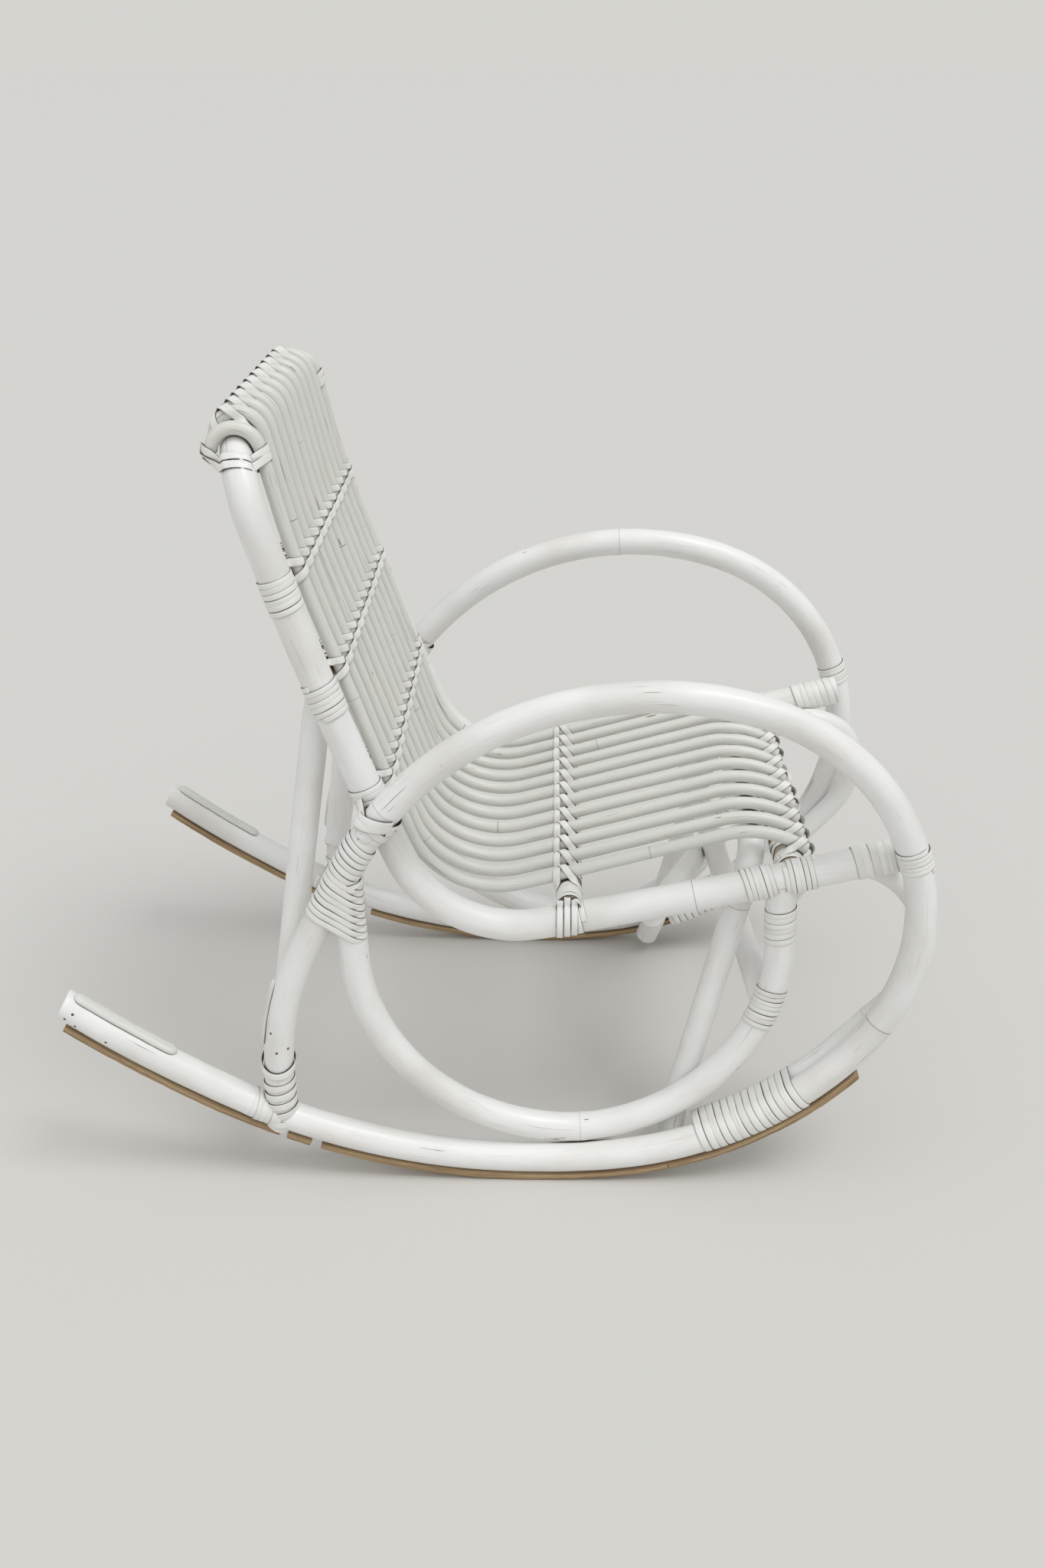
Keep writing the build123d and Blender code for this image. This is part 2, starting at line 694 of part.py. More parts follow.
side_hoop_pole = side_hoop()
hoop_room = side_hoop(WRAP_FIT)
write_pair(side_hoop_pole, "side_hoop")

write(back_frame(FRAME_R), "hoop_back_frame")
frame_room = back_frame(FRAME_R + WRAP_FIT)
frame_seat = back_frame(FRAME_R + FIT)

lower_loop_pole = largest(cut(pole(side_wire(RIGHT_LOOP, loop), LOOP_R), frame_seat, side_hoop(FIT)))
loop_room = pole(side_wire(RIGHT_LOOP, loop), LOOP_R + WRAP_FIT)
loop_seat = pole(side_wire(RIGHT_LOOP, loop), LOOP_R + FIT)
write_pair(lower_loop_pole, "lower_loop")

for i in range(CANE_COUNT):
    x = CANE_SPREAD * (i / (CANE_COUNT - 1) - 0.5)
    write(cane_piece(x), f"seat_cane_{i + 1}")

bars = {
    "upper_back_bar": (UPPER_BAR, BAR_R),
    "middle_back_bar": (MIDDLE_BAR, BAR_R),
    "lower_back_bar": (LOWER_BAR, BAR_R),
    "seat_bar": (SEAT_BAR, BAR_R),
    "seat_front_bar": (FRONT_BAR, FRONT_BAR_R),
}
loop_seats = [loop_seat, mirror(loop_seat, about=Plane.YZ)]
for label, (axis, radius) in bars.items():
    write(largest(cut(crossbar(axis, radius), frame_seat, *loop_seats)), label)

write(arch(FRONT_ARCH_FOOT, ARCH_FOOT_X, ARCH_TOP, [arch_knee()]), "front_arch")

rear_foot = hoop.at(hoop.find(1, REAR_FOOT_HEIGHT, LEG_START, hoop.length))
rear_tie = BAR_R + BRACE_R + FIT
rear_top = (
    MIDDLE_BAR[0] + rear_tie * cos(radians(REAR_TIE_ANGLE)),
    MIDDLE_BAR[1] + rear_tie * sin(radians(REAR_TIE_ANGLE)),
)
write(arch(rear_foot[:2], ARCH_FOOT_X, rear_top), "rear_arch")

diagonals = []
for side, label, head_forward in zip((1, -1), ("right", "left"), DIAGONAL_HEADS):
    write(largest(cut(diagonal_brace(side, head_forward), frame_seat, *loop_seats)), f"{label}_cross_brace")
    diagonals.append(diagonal_brace(1, head_forward, FIT))

write_pair(front_brace(), "front_brace")
brace_room = front_brace(WRAP_FIT)

foot_forward, foot_height, _ = LEG_FOOT
write_pair(splint(hoop.part(*TAIL_SPLINT), 1, Align.MAX), "tail_splint")
behind_leg = along_leg(foot_height + LEG_SPLINT[0], foot_height + LEG_SPLINT[1])
write_pair(splint(behind_leg, -1, Align.MIN), "leg_splint")
for name, spans in RUNNER_SPANS.items():
    write_pair(runner_strip(spans), f"{name}_runner_strip")
strip_room = runner_strip([(RUNNER_SPANS["rear"][0][0], RUNNER_SPANS["front"][0][1])], FIT)

# Lashings

bar_rooms = {label: crossbar(axis, radius + FIT) for label, (axis, radius) in bars.items()}
for name, span in (("upper", UPPER_POST_WRAP), ("middle", MIDDLE_POST_WRAP)):
    turns = sleeve(RIGHT_FRAME, along_post(*span), FRAME_R)
    write_pair(lashing([turns], frame_room, bar_rooms[f"{name}_back_bar"]), f"{name}_post_wrap")
write_pair(
    lashing([sleeve(RIGHT_FRAME, along_rail(*SEAT_RAIL_WRAP), FRAME_R)], frame_room, bar_rooms["seat_bar"]),
    "seat_rail_wrap",
)
write_pair(
    lashing(
        [sleeve(RIGHT_FRAME, along_rail(*FRONT_RAIL_WRAP), FRAME_R)],
        frame_room, bar_rooms["seat_front_bar"], loop_seat, brace_room,
    ),
    "front_rail_wrap",
)
write_pair(
    lashing(
        [
            sleeve(RIGHT_FRAME, along_rail(*RAIL_END_WRAP), FRAME_R),
            sleeve(RIGHT, along_front(*HOOP_STRAP), HOOP_R),
        ],
        frame_room, hoop_room, brace_room,
    ),
    "front_joint_lashing",
)
write_pair(
    lashing([sleeve(RIGHT_LOOP, along_loop_front(*LOOP_TOP_WRAP), LOOP_R)], loop_room, brace_room),
    "loop_top_wrap",
)
write_pair(
    lashing([sleeve(RIGHT_LOOP, along_loop_front(*DIAGONAL_WRAP), LOOP_R)], loop_room, *diagonals),
    "cross_brace_wrap",
)
write_pair(
    lashing(
        [
            sleeve(RIGHT, along_rocker(*ROCKER_WRAP), HOOP_R),
            sleeve(RIGHT_BRACE, along_rocker(*ROCKER_WRAP), FRONT_BRACE_R),
        ],
        hoop_room, brace_room, strip_room,
    ),
    "rocker_wrap",
)
write_pair(
    lashing(
        [
            sleeve(RIGHT, along_leg(*(foot_height + end for end in FOOT_WRAP)), HOOP_R),
            sleeve(RIGHT, along_rocker(*(foot_forward + end for end in FOOT_STRAP)), HOOP_R),
        ],
        hoop_room, strip_room,
    ),
    "foot_lashing",
)
write_pair(
    lashing(
        [
            sleeve(RIGHT_FRAME, along_post(*ARM_WRAP), FRAME_R),
            sleeve(RIGHT, along_leg(*ARM_WRAP), HOOP_R),
        ],
        bar_rooms["lower_back_bar"], frame_room, hoop_room,
    ),
    "arm_joint_lashing",
)
write_pair(
    lashing(
        [
            sleeve(RIGHT, along_leg(*REAR_JOINT_WRAP), HOOP_R),
            sleeve(RIGHT_LOOP, along_loop_rear(LOOP_REAR_WRAP, loop.start[1]), LOOP_R),
        ],
        hoop_room, loop_room, frame_room,
    ),
    "rear_joint_wrap",
)
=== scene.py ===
"""Looks of the hoop back rocking chair: painted rattan poles and canes, and peel lashings.

Metres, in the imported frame: +Z up, the sitter faces -Y, and the right side is -X. The axis of each
pole is read from its CAD node, and the poles, lashings and bindings are laid along these axes.
"""
import math
import random

import bpy
import numpy as np
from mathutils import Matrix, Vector

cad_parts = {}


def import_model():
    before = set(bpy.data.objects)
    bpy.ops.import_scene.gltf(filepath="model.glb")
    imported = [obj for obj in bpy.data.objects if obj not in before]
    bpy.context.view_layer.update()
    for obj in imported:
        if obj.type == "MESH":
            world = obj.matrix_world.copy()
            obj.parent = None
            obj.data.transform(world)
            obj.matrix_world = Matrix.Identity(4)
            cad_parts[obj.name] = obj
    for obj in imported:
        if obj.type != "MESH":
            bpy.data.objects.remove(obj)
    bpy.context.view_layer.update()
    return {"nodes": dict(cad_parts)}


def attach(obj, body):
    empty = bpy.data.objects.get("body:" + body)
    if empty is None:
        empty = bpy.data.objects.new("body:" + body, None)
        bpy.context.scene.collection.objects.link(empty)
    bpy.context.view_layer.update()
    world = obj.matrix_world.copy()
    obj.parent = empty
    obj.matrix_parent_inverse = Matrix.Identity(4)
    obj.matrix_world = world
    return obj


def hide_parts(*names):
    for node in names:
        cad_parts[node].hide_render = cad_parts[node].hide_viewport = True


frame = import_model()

X, Y, Z = np.eye(3)
MM = 0.001

# Reading the poles
STEP = 4 * MM               # between the points read along an axis
FIRST_REACH = 40 * MM       # how far round its seed the first section is looked for
BESIDE = 100 * MM           # how near a pole's middle has to be for a winding to take it in
ON_POLE = 2.5 * MM          # how far from a pole's surface the points of its lashing may be

# Peel
PEEL = 1.3 * MM             # thickness of a strip
PEEL_WIDTH = 8.4 * MM
PEEL_GAP = 1.05 * MM        # between the turns of a winding
WIDEST_PEEL = 9.5 * MM
LEAN = 1.2 * MM             # how far a turn strays from square to its pole, where it isn't said
TURN_STEPS = 44             # points along one turn
SLIT = 0.1 * MM             # between a strip and what it lies on
# Sections as (across, up), in shares of half the width and of the thickness
PROFILE = [(-1, 0), (-1, 0.5), (-0.88, 0.88), (-0.45, 1), (0.45, 1), (0.88, 0.88), (1, 0.5), (1, 0)]
PLANK = [(-0.96, 0), (-1, 0.1), (-1, 0.88), (-0.93, 1), (0.93, 1), (1, 0.88), (1, 0.1), (0.96, 0)]
HALF_ROUND = [(-math.cos(math.pi * k / 10), math.sin(math.pi * k / 10)) for k in range(11)]
HALF_ROUND = [(-1, -0.42)] + HALF_ROUND + [(1, -0.42)]

# Seeds of the random draws
POLE_SEED, LASHING_SEED, STRIP_SEED, BINDING_SEED, TIE_SEED = 100, 500, 800, 700, 760


# ---------------------------------------------------------------- reading the frame

def unit(v):
    return v / np.linalg.norm(v, axis=-1, keepdims=True)


class Shape:
    """The points and edges of a CAD node."""

    def __init__(self, node):
        mesh = frame["nodes"][node].data
        places = np.empty(len(mesh.vertices) * 3, np.float32)
        mesh.vertices.foreach_get("co", places)
        ends = np.empty(len(mesh.edges) * 2, np.int32)
        mesh.edges.foreach_get("vertices", ends)
        self.points = places.reshape(-1, 3).astype(float)
        self.edges = ends.reshape(-1, 2)

    def cuts(self, centre, normal, near, far):
        """Where a plane cuts the edges, at a distance from a point between two bounds."""
        depth = (self.points - centre) @ normal
        first, second = self.edges.T
        crossed = depth[first] * depth[second] < 0
        a, b = first[crossed], second[crossed]
        share = depth[a] / (depth[a] - depth[b])
        found = self.points[a] + share[:, None] * (self.points[b] - self.points[a])
        gaps = np.linalg.norm(found - centre, axis=1)
        return found[(gaps >= near) & (gaps < far)]

    def ring(self, centre, normal, near, far):
        """Centre and radius of the circle that a plane cuts, or None where there is none."""
        cuts = self.cuts(centre, normal, near, far) - centre
        if len(cuts) < 8:
            return None
        across = unit(np.cross(normal, np.eye(3)[np.argmin(np.abs(normal))]))
        up = np.cross(normal, across)
        x, y = cuts @ across, cuts @ up
        sums = np.column_stack([2 * x, 2 * y, np.ones(len(x))])
        (cx, cy, rest), *_ = np.linalg.lstsq(sums, x * x + y * y, rcond=None)
        return centre + cx * across + cy * up, math.sqrt(rest + cx * cx + cy * cy)

    def march(self, centre, heading, radius):
        """Points along the axis from a centre to the pole's end."""
        points, last_chord = [], heading
        while True:
            found = self.ring(centre + heading * STEP, heading, radius * 0.88, radius * 1.12)
            if found is None or abs(found[1] / radius - 1) > 0.08:
                break
            chord = unit(found[0] - centre)
            heading = unit(1.5 * chord - 0.5 * last_chord)
            centre, last_chord = found[0], chord
            points.append(centre)
        offsets = self.points - centre
        ahead = offsets @ heading
        aside = np.linalg.norm(offsets - ahead[:, None] * heading, axis=1)
        end = ahead[(aside < radius * 1.1) & (ahead < radius * 1.5)].max()
        return points, centre + heading * max(end, 0.1 * STEP)


def smoothed(points, half):
    """Each point moved onto the parabola that fits its neighbours best."""
    count = len(points)
    result = np.empty_like(points)
    for i in range(count):
        first = min(max(i - half, 0), max(count - 2 * half - 1, 0))
        last = min(first + 2 * half + 1, count)
        fit = np.polynomial.polynomial.polyfit(np.arange(first, last) - i, points[first:last], 2)
        result[i] = fit[0]
    return result


class Pole:
    """A pole's axis and radius, with two ways across it that turn as little as they can."""

    def __init__(self, points, radius):
        self.points, self.radius = points, radius
        gaps = np.linalg.norm(np.diff(points, axis=0), axis=1)
        self.along = np.concatenate([[0.0], np.cumsum(gaps)])
        self.length = self.along[-1]
        self.ways = unit(np.gradient(points, self.along, axis=0))
        side = unit(np.cross(self.ways[0], np.eye(3)[np.argmin(np.abs(self.ways[0]))]))
        self.sides = np.empty_like(points)
        for i, way in enumerate(self.ways):
            side = unit(side - way * (side @ way))
            self.sides[i] = side

    def read(self, values, places):
        return np.stack([np.interp(places, self.along, values[:, k]) for k in range(3)], axis=1)

    def at(self, places):
        """Points, headings and the two ways across, at places along the pole."""
        places = np.atleast_1d(places)
        way = unit(self.read(self.ways, places))
        side = self.read(self.sides, places)
        side = unit(side - way * np.sum(side * way, axis=1, keepdims=True))
        return self.read(self.points, places), way, side, np.cross(way, side)

    def nearest(self, points):
        """For each point, the place of the nearest part of the axis, and how far away it is."""
        gaps = np.linalg.norm(points[:, None] - self.points[None], axis=2)
        index = np.argmin(gaps, axis=1)
        return self.along[index], gaps[np.arange(len(points)), index]

    def part(self, first, last):
        """The stretch of the pole between two shares of its length."""
        inside = (self.along >= first * self.length) & (self.along <= last * self.length)
        return Pole(self.points[inside], self.radius)

    def where(self, axis, value):
        """The place where a coordinate has this value."""
        return self.along[np.argmin(np.abs(self.points @ axis - value))]

    def stretch(self, centre, reach):
        """The points of the axis within reach of a point."""
        return self.points[np.linalg.norm(self.points - centre, axis=1) < reach]


def trace(node, near, heading, half):
    """Reads a pole from its CAD node, from a point inside it and the way that it runs there."""
    shape = Shape(node)
    centre, radius = shape.ring(near, heading, 0.0, FIRST_REACH)
    for _ in range(4):
        before = shape.ring(centre - heading * STEP, heading, 0.0, radius * 1.6)[0]
        after = shape.ring(centre + heading * STEP, heading, 0.0, radius * 1.6)[0]
        heading = unit(after - before)
        centre, radius = shape.ring(centre, heading, 0.0, radius * 1.6)
    ahead, last = shape.march(centre, heading, radius)
    behind, first = shape.march(centre, -heading, radius)
    inner = smoothed(np.array(behind[::-1] + [centre] + ahead), half)
    return Pole(np.vstack([first, inner, last]), radius)


def lengthened(pole, extra):
    """The pole with both ends carried on straight."""
    first, last = pole.points[0] - pole.ways[0] * extra, pole.points[-1] + pole.ways[-1] * extra
    return Pole(np.vstack([first, pole.points[1:-1], last]), pole.radius)


def extreme(node, axis, sign):
    """The point where a node reaches furthest along an axis."""
    points = Shape(node).points
    return points[np.argmax(sign * points @ axis)]


def middle_cut(node, axis, value):
    """The middle of a node's section across an axis."""
    point = axis * value
    return Shape(node).cuts(point, axis, 0.0, 10.0).mean(axis=0)


def covered(pole, node, rivals=()):
    """The stretch of a pole, as (first, last), that a lashing node lies on, and not on its rivals."""
    points = Shape(node).points[::3]
    places, gaps = pole.nearest(points)
    mine = gaps < pole.radius + ON_POLE
    for rival in rivals:
        mine &= np.abs(gaps - pole.radius) <= np.abs(rival.nearest(points)[1] - rival.radius)
    return places[mine].min(), places[mine].max()


# ---------------------------------------------------------------- meshes

def tube_faces(rows, columns, start=0):
    """Quads of a closed tube of vertex rows, with both ends shut."""
    row = np.arange(rows - 1)[:, None] * columns
    column = np.arange(columns)[None]
    after = (column + 1) % columns
    quads = np.stack([row + column, row + after, row + columns + after, row + columns + column], axis=2)
    faces = (quads.reshape(-1, 4) + start).tolist()
    faces.append([start + k for k in range(columns)][::-1])
    faces.append([start + (rows - 1) * columns + k for k in range(columns)])
    return faces


class Made:
    """Vertices, faces and attributes gathered for one piece."""

    def __init__(self):
        self.points, self.faces = [], []
        self.grain, self.edge = [], []
        self.count = 0

    def add(self, points, faces, grain, edge):
        self.points.append(points)
        self.faces.extend(faces)
        self.grain.append(grain)
        self.edge.append(edge)
        self.count += len(points)

    def piece(self, name, material, slot, *nodes):
        """Makes the object, which rides on the chair and stands for the CAD nodes."""
        mesh = bpy.data.meshes.new(name)
        mesh.from_pydata(np.vstack(self.points).tolist(), [], self.faces)
        grain = mesh.attributes.new("grain", "FLOAT_VECTOR", "POINT")
        grain.data.foreach_set("vector", np.vstack(self.grain).astype(np.float32).ravel())
        edge = mesh.attributes.new("edge", "FLOAT", "POINT")
        edge.data.foreach_set("value", np.concatenate(self.edge).astype(np.float32))
        mesh.polygons.foreach_set("use_smooth", np.ones(len(mesh.polygons), bool))
        mesh.materials.append(material)
        mesh.validate()
        obj = bpy.data.objects.new(name, mesh)
        bpy.context.scene.collection.objects.link(obj)
        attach(obj, "root")
        if nodes:
            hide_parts(*nodes)
        return obj


def wave(places, draw, lengths, size):
    """A smooth uneven line along a pole, as a sum of a few long waves."""
    total = np.zeros_like(places)
    for length in lengths:
        total += draw.uniform(0.4, 1.0) * np.sin(places * 2 * math.pi / length + draw.uniform(0, 6.28))
    return total * size / len(lengths)


def joint_rings(length, draw, spacing):
    """Places of the growth rings along a rattan pole."""
    place, rings = draw.uniform(0.2, 0.9) * spacing, []
    while place < length - 0.02:
        rings.append(place)
        place += spacing * draw.uniform(0.8, 1.2)
    return rings


RING_STEPS = np.array([-9, -5, -2.6, -1.4, -0.8, -0.35, 0, 0.35, 0.8, 1.4, 2.6, 5, 9]) * MM
RING_SWELLING = 0.028       # of the radius
RING_GROOVE = 0.35 * MM
SWAY = 0.5 * MM             # how far a pole strays from its axis, each way across
UNEVEN = 0.25 * MM          # how much its radius varies
OVAL = 0.012                # how much wider it is one way than the other, as a share
ROUNDING = 1.4 * MM         # of its ends
DARK_END = 4 * MM           # how much of a bare end is dark


def rattan(made, pole, draw, around, step, spacing, dark_ends=False):
    """A rattan pole: slightly uneven, with a swelling and a scar at each growth ring."""
    rings = joint_rings(pole.length, draw, spacing)
    places = [np.arange(0, pole.length, step), [0.4 * MM, 1.2 * MM, pole.length - 1.2 * MM]]
    places += [[pole.length - 0.4 * MM, pole.length]] + [ring + RING_STEPS for ring in rings]
    places = np.unique(np.round(np.clip(np.concatenate(places), 0, pole.length), 6))
    point, way, side, up = pole.at(places)
    point = point + side * wave(places, draw, (0.21, 0.34, 0.55), SWAY)[:, None]
    point = point + up * wave(places, draw, (0.19, 0.37, 0.6), SWAY)[:, None]

    radius = pole.radius + wave(places, draw, (0.05, 0.13, 0.3), UNEVEN)
    edge_mark = np.zeros_like(places)
    for ring in rings:
        off, depth = places - ring, draw.uniform(0.25, 0.8)
        radius += RING_SWELLING * pole.radius * np.exp(-((off - 2 * MM) / (7 * MM)) ** 2)
        radius -= RING_GROOVE * depth * np.exp(-(off / (0.5 * MM)) ** 2)
        edge_mark = np.maximum(edge_mark, depth * np.exp(-(off / (0.7 * MM)) ** 2))
    end = np.minimum(places, pole.length - places)
    radius -= ROUNDING * np.clip(1 - end / (1.2 * MM), 0, 1) ** 2
    if dark_ends:
        edge_mark = np.maximum(edge_mark, (end < DARK_END) * 1.0)

    turn = np.linspace(0, 2 * math.pi, around, endpoint=False)
    oval = 1 + OVAL * np.cos(2 * turn + draw.uniform(0, 3.14))
    spread = radius[:, None] * oval[None]
    across, high = spread * np.cos(turn), spread * np.sin(turn)
    points = point[:, None] + side[:, None] * across[..., None] + up[:, None] * high[..., None]
    lengthwise = np.repeat(places[:, None] + draw.uniform(0, 40), around, axis=1)
    grain = np.stack([across, high, lengthwise], axis=2)
    edge = np.repeat(edge_mark[:, None], around, axis=1)
    faces = tube_faces(len(places), around, made.count)
    made.add(points.reshape(-1, 3), faces, grain.reshape(-1, 3), edge.ravel())


def ribbon(made, points, outs, width, draw, rim=1.0, closed=False):
    """A strip of peel laid along points, its back to the poles, with edges as dark as rim says."""
    if closed:
        points = np.vstack([points, points[:1]])
        outs = np.vstack([outs, outs[:1]])
    gaps = np.linalg.norm(np.diff(points, axis=0), axis=1)
    along = np.concatenate([[0.0], np.cumsum(gaps)])
    way = unit(np.gradient(points, np.maximum(along, np.arange(len(along)) * 1e-7), axis=0))
    if closed:
        way[0] = way[-1] = unit(way[0] + way[-1])
    across = unit(np.cross(way, outs))
    out = np.cross(across, way)
    half = width / 2 * (1 + wave(along, draw, (0.03, 0.08), 0.05))
    thick = PEEL * (1 + wave(along, draw, (0.02, 0.06), 0.12))
    end = np.minimum(along, along[-1] - along)
    low = np.zeros(len(along)) if closed else (np.clip(end / (3 * MM), 0, 1) - 1) * 0.6 * PEEL
    # How dark the edges are: painted shade of the gaps beside the strip, over the peel's darker bare edges
    dark = np.full(len(along), rim) if closed else rim * np.clip(end / (9 * MM), 0, 1)
    share = np.array(PROFILE)
    points = (
        points[:, None]
        + across[:, None] * (half[:, None] * share[None, :, 0])[..., None]
        + out[:, None] * (low[:, None] + thick[:, None] * share[None, :, 1])[..., None]
    )
    grain = np.stack([
        half[:, None] * share[None, :, 0],
        thick[:, None] * share[None, :, 1],
        np.repeat(along[:, None] + draw.uniform(0, 40), len(share), axis=1),
    ], axis=2)
    edge = (np.abs(share[None, :, 0]) == 1) * dark[:, None]
    faces = tube_faces(len(along), len(share), made.count)
    made.add(points.reshape(-1, 3), faces, grain.reshape(-1, 3), edge.ravel())


def plank(made, points, outs, width, thickness, draw, profile, taper, blunt):
    """A strip of wood, its back at the points, its face outwards, and its ends rounded over taper."""
    along = np.concatenate([[0.0], np.cumsum(np.linalg.norm(np.diff(points, axis=0), axis=1))])
    way = unit(np.gradient(points, along, axis=0))
    across = unit(np.cross(way, outs))
    out = np.cross(across, way)
    half = width / 2 + wave(along, draw, (0.02, 0.05, 0.15), 0.6 * MM)
    thick = thickness + wave(along, draw, (0.03, 0.09), 0.25 * MM)
    end = 1 - np.clip(np.minimum(along, along[-1] - along) / taper, 0, 1)
    rounded = 1 - (1 - blunt) * (1 - np.sqrt(1 - end * end))
    half, thick = half * rounded, thick * rounded
    share = np.array(profile)
    points = (
        points[:, None]
        + across[:, None] * (half[:, None] * share[None, :, 0])[..., None]
        + out[:, None] * (thick[:, None] * share[None, :, 1])[..., None]
    )
    grain = np.stack([
        half[:, None] * share[None, :, 0],
        thick[:, None] * share[None, :, 1],
        np.repeat(along[:, None] + draw.uniform(0, 40), len(share), axis=1),
    ], axis=2)
    # The edge attribute is 1 below the strip's back, where a painted material darkens it: a painted shadow
    # line along its base.
    edge = np.repeat((share[None, :, 1] < 0) * 1.0, len(along), axis=0)
    faces = tube_faces(len(along), len(share), made.count)
    made.add(points.reshape(-1, 3), faces, grain.reshape(-1, 3), edge.ravel())


def islands(node):
    """The points of each solid of a node."""
    shape = Shape(node)
    _, same = np.unique(np.round(shape.points / (0.01 * MM)), axis=0, return_inverse=True)
    same = same.ravel()
    labels = np.arange(same.max() + 1)
    ends = same[shape.edges]
    while True:
        low = np.minimum(labels[ends[:, 0]], labels[ends[:, 1]])
        after = labels.copy()
        np.minimum.at(after, ends[:, 0], low)
        np.minimum.at(after, ends[:, 1], low)
        if np.array_equal(after, labels):
            break
        labels = after
    groups = labels[same]
    return [shape.points[groups == group] for group in np.unique(groups)]


# ---------------------------------------------------------------- windings

def bundle(pole, others, place):
    """Centres and radii, in the pole's section at a place, of the pole and those beside it."""
    point, way, side, up = (value[0] for value in pole.at(place))
    centres, radii = [(0.0, 0.0)], [pole.radius]
    for other in others:
        offsets = other.points - point
        depth = offsets @ way
        near = np.linalg.norm(offsets, axis=1) < BESIDE
        crossed = np.flatnonzero((depth[:-1] * depth[1:] <= 0) & near[:-1])
        if len(crossed):
            k = crossed[0]
            share = depth[k] / (depth[k] - depth[k + 1])
            centre = offsets[k] + share * (offsets[k + 1] - offsets[k])
            centres.append((centre @ side, centre @ up))
            radii.append(other.radius)
    return point, way, side, up, np.array(centres), np.array(radii)


def way_round(centres, radii, count, start):
    """Points and outward ways of a band drawn tight round circles, from an angle on."""
    turn = start + np.linspace(0, 2 * math.pi, 241)
    out = np.stack([np.cos(turn), np.sin(turn)], axis=1)
    reach = centres @ out.T + radii[:, None]
    held = np.argmax(reach, axis=0)
    points = centres[held] + radii[held, None] * out
    along = np.concatenate([[0.0], np.cumsum(np.linalg.norm(np.diff(points, axis=0), axis=1))])
    even = np.linspace(0, along[-1], count + 1)[:-1]
    read = [np.interp(even, along, values) for values in (*points.T, *out.T)]
    return np.stack(read[:2], axis=1), unit(np.stack(read[2:], axis=1))


def wind(made, pole, others, first, last, turns, draw, lean=None, layer=0):
    """Winds one strip round a pole, and those beside it, from one place to another.

    What faces the way of lean is shifted along the pole by that much. layer counts the strips below.
    """
    start = draw.uniform(0, 2 * math.pi)
    tilt = np.array([draw.uniform(-1, 1) for _ in range(3)]) * LEAN if lean is None else np.array(lean)
    total = int(turns * TURN_STEPS)
    pitch = abs(last - first) / turns
    rate = np.linspace(0, 1, total + 1)
    sway = wave(rate * turns, draw, (0.9, 1.7, 3.1), 0.7 * MM)
    rise = layer * PEEL + np.abs(wave(rate * turns, draw, (0.7, 1.3, 2.9), 0.4 * MM))
    points, outs = [], []
    for i, share in enumerate(rate):
        place = first + (last - first) * (share * (1 - 1 / turns) + 0.5 / turns) + sway[i]
        angle = 2 * math.pi * (i % TURN_STEPS) / TURN_STEPS + start
        _, _, side, up = (value[0] for value in pole.at(place))
        place += (side * math.cos(angle) + up * math.sin(angle)) @ tilt
        point, way, side, up, centres, radii = bundle(pole, others, place)
        ring, out = way_round(centres, radii, TURN_STEPS, start)
        k = i % TURN_STEPS
        outward = side * out[k, 0] + up * out[k, 1]
        points.append(point + side * ring[k, 0] + up * ring[k, 1] + outward * rise[i])
        outs.append(outward)
    ribbon(made, np.array(points), np.array(outs), min(pitch - PEEL_GAP, WIDEST_PEEL), draw)


# ---------------------------------------------------------------- bindings

def pushed_out(points, axis, radius):
    """Points moved out of a pole, given as the points of its axis."""
    begin, run = axis[:-1], np.diff(axis, axis=0)
    share = np.einsum("ijk,jk->ij", points[:, None] - begin[None], run) / np.sum(run * run, axis=1)
    feet = begin[None] + np.clip(share, 0, 1)[..., None] * run[None]
    gaps = np.linalg.norm(points[:, None] - feet, axis=2)
    index = np.argmin(gaps, axis=1)
    foot = feet[np.arange(len(points)), index]
    gap = gaps[np.arange(len(points)), index]
    out = (points - foot) / np.maximum(gap, 1e-6)[:, None]
    inside = gap < radius
    points = np.where(inside[:, None], foot + out * radius, points)
    return points, out, np.maximum(gap - radius, 0)


def tightened(controls, poles, rounds=140):
    """A closed loop through pinned controls, drawn tight over poles given as (axis, radius)."""
    points, pinned = [], []
    for (here, pin), (after, _) in zip(controls, controls[1:] + controls[:1]):
        count = max(2, round(np.linalg.norm(after - here) / (2.2 * MM)))
        for k in range(count):
            points.append(here + (after - here) * k / count)
            pinned.append(pin and k == 0)
    points, pinned = np.array(points), np.array(pinned)[:, None]
    for _ in range(rounds):
        drawn = (np.roll(points, 1, axis=0) + np.roll(points, -1, axis=0) + points) / 3
        points = np.where(pinned, points, drawn)
        for axis, radius in poles:
            points = np.where(pinned, points, pushed_out(points, axis, radius)[0])
    outs = np.zeros_like(points)
    for axis, radius in poles:
        _, out, gap = pushed_out(points, axis, radius)
        outs += out / (gap[:, None] + 0.4 * MM) ** 2
    outs = unit(outs)
    for _ in range(3):
        outs = unit(np.roll(outs, 1, axis=0) + np.roll(outs, -1, axis=0) + outs)
    return points, outs


BINDING_GAP_SHADE_AND_BARE_EDGE = 0.6           # how dark the edges of these strips are: painted shade of the gaps beside them, over their bare edges
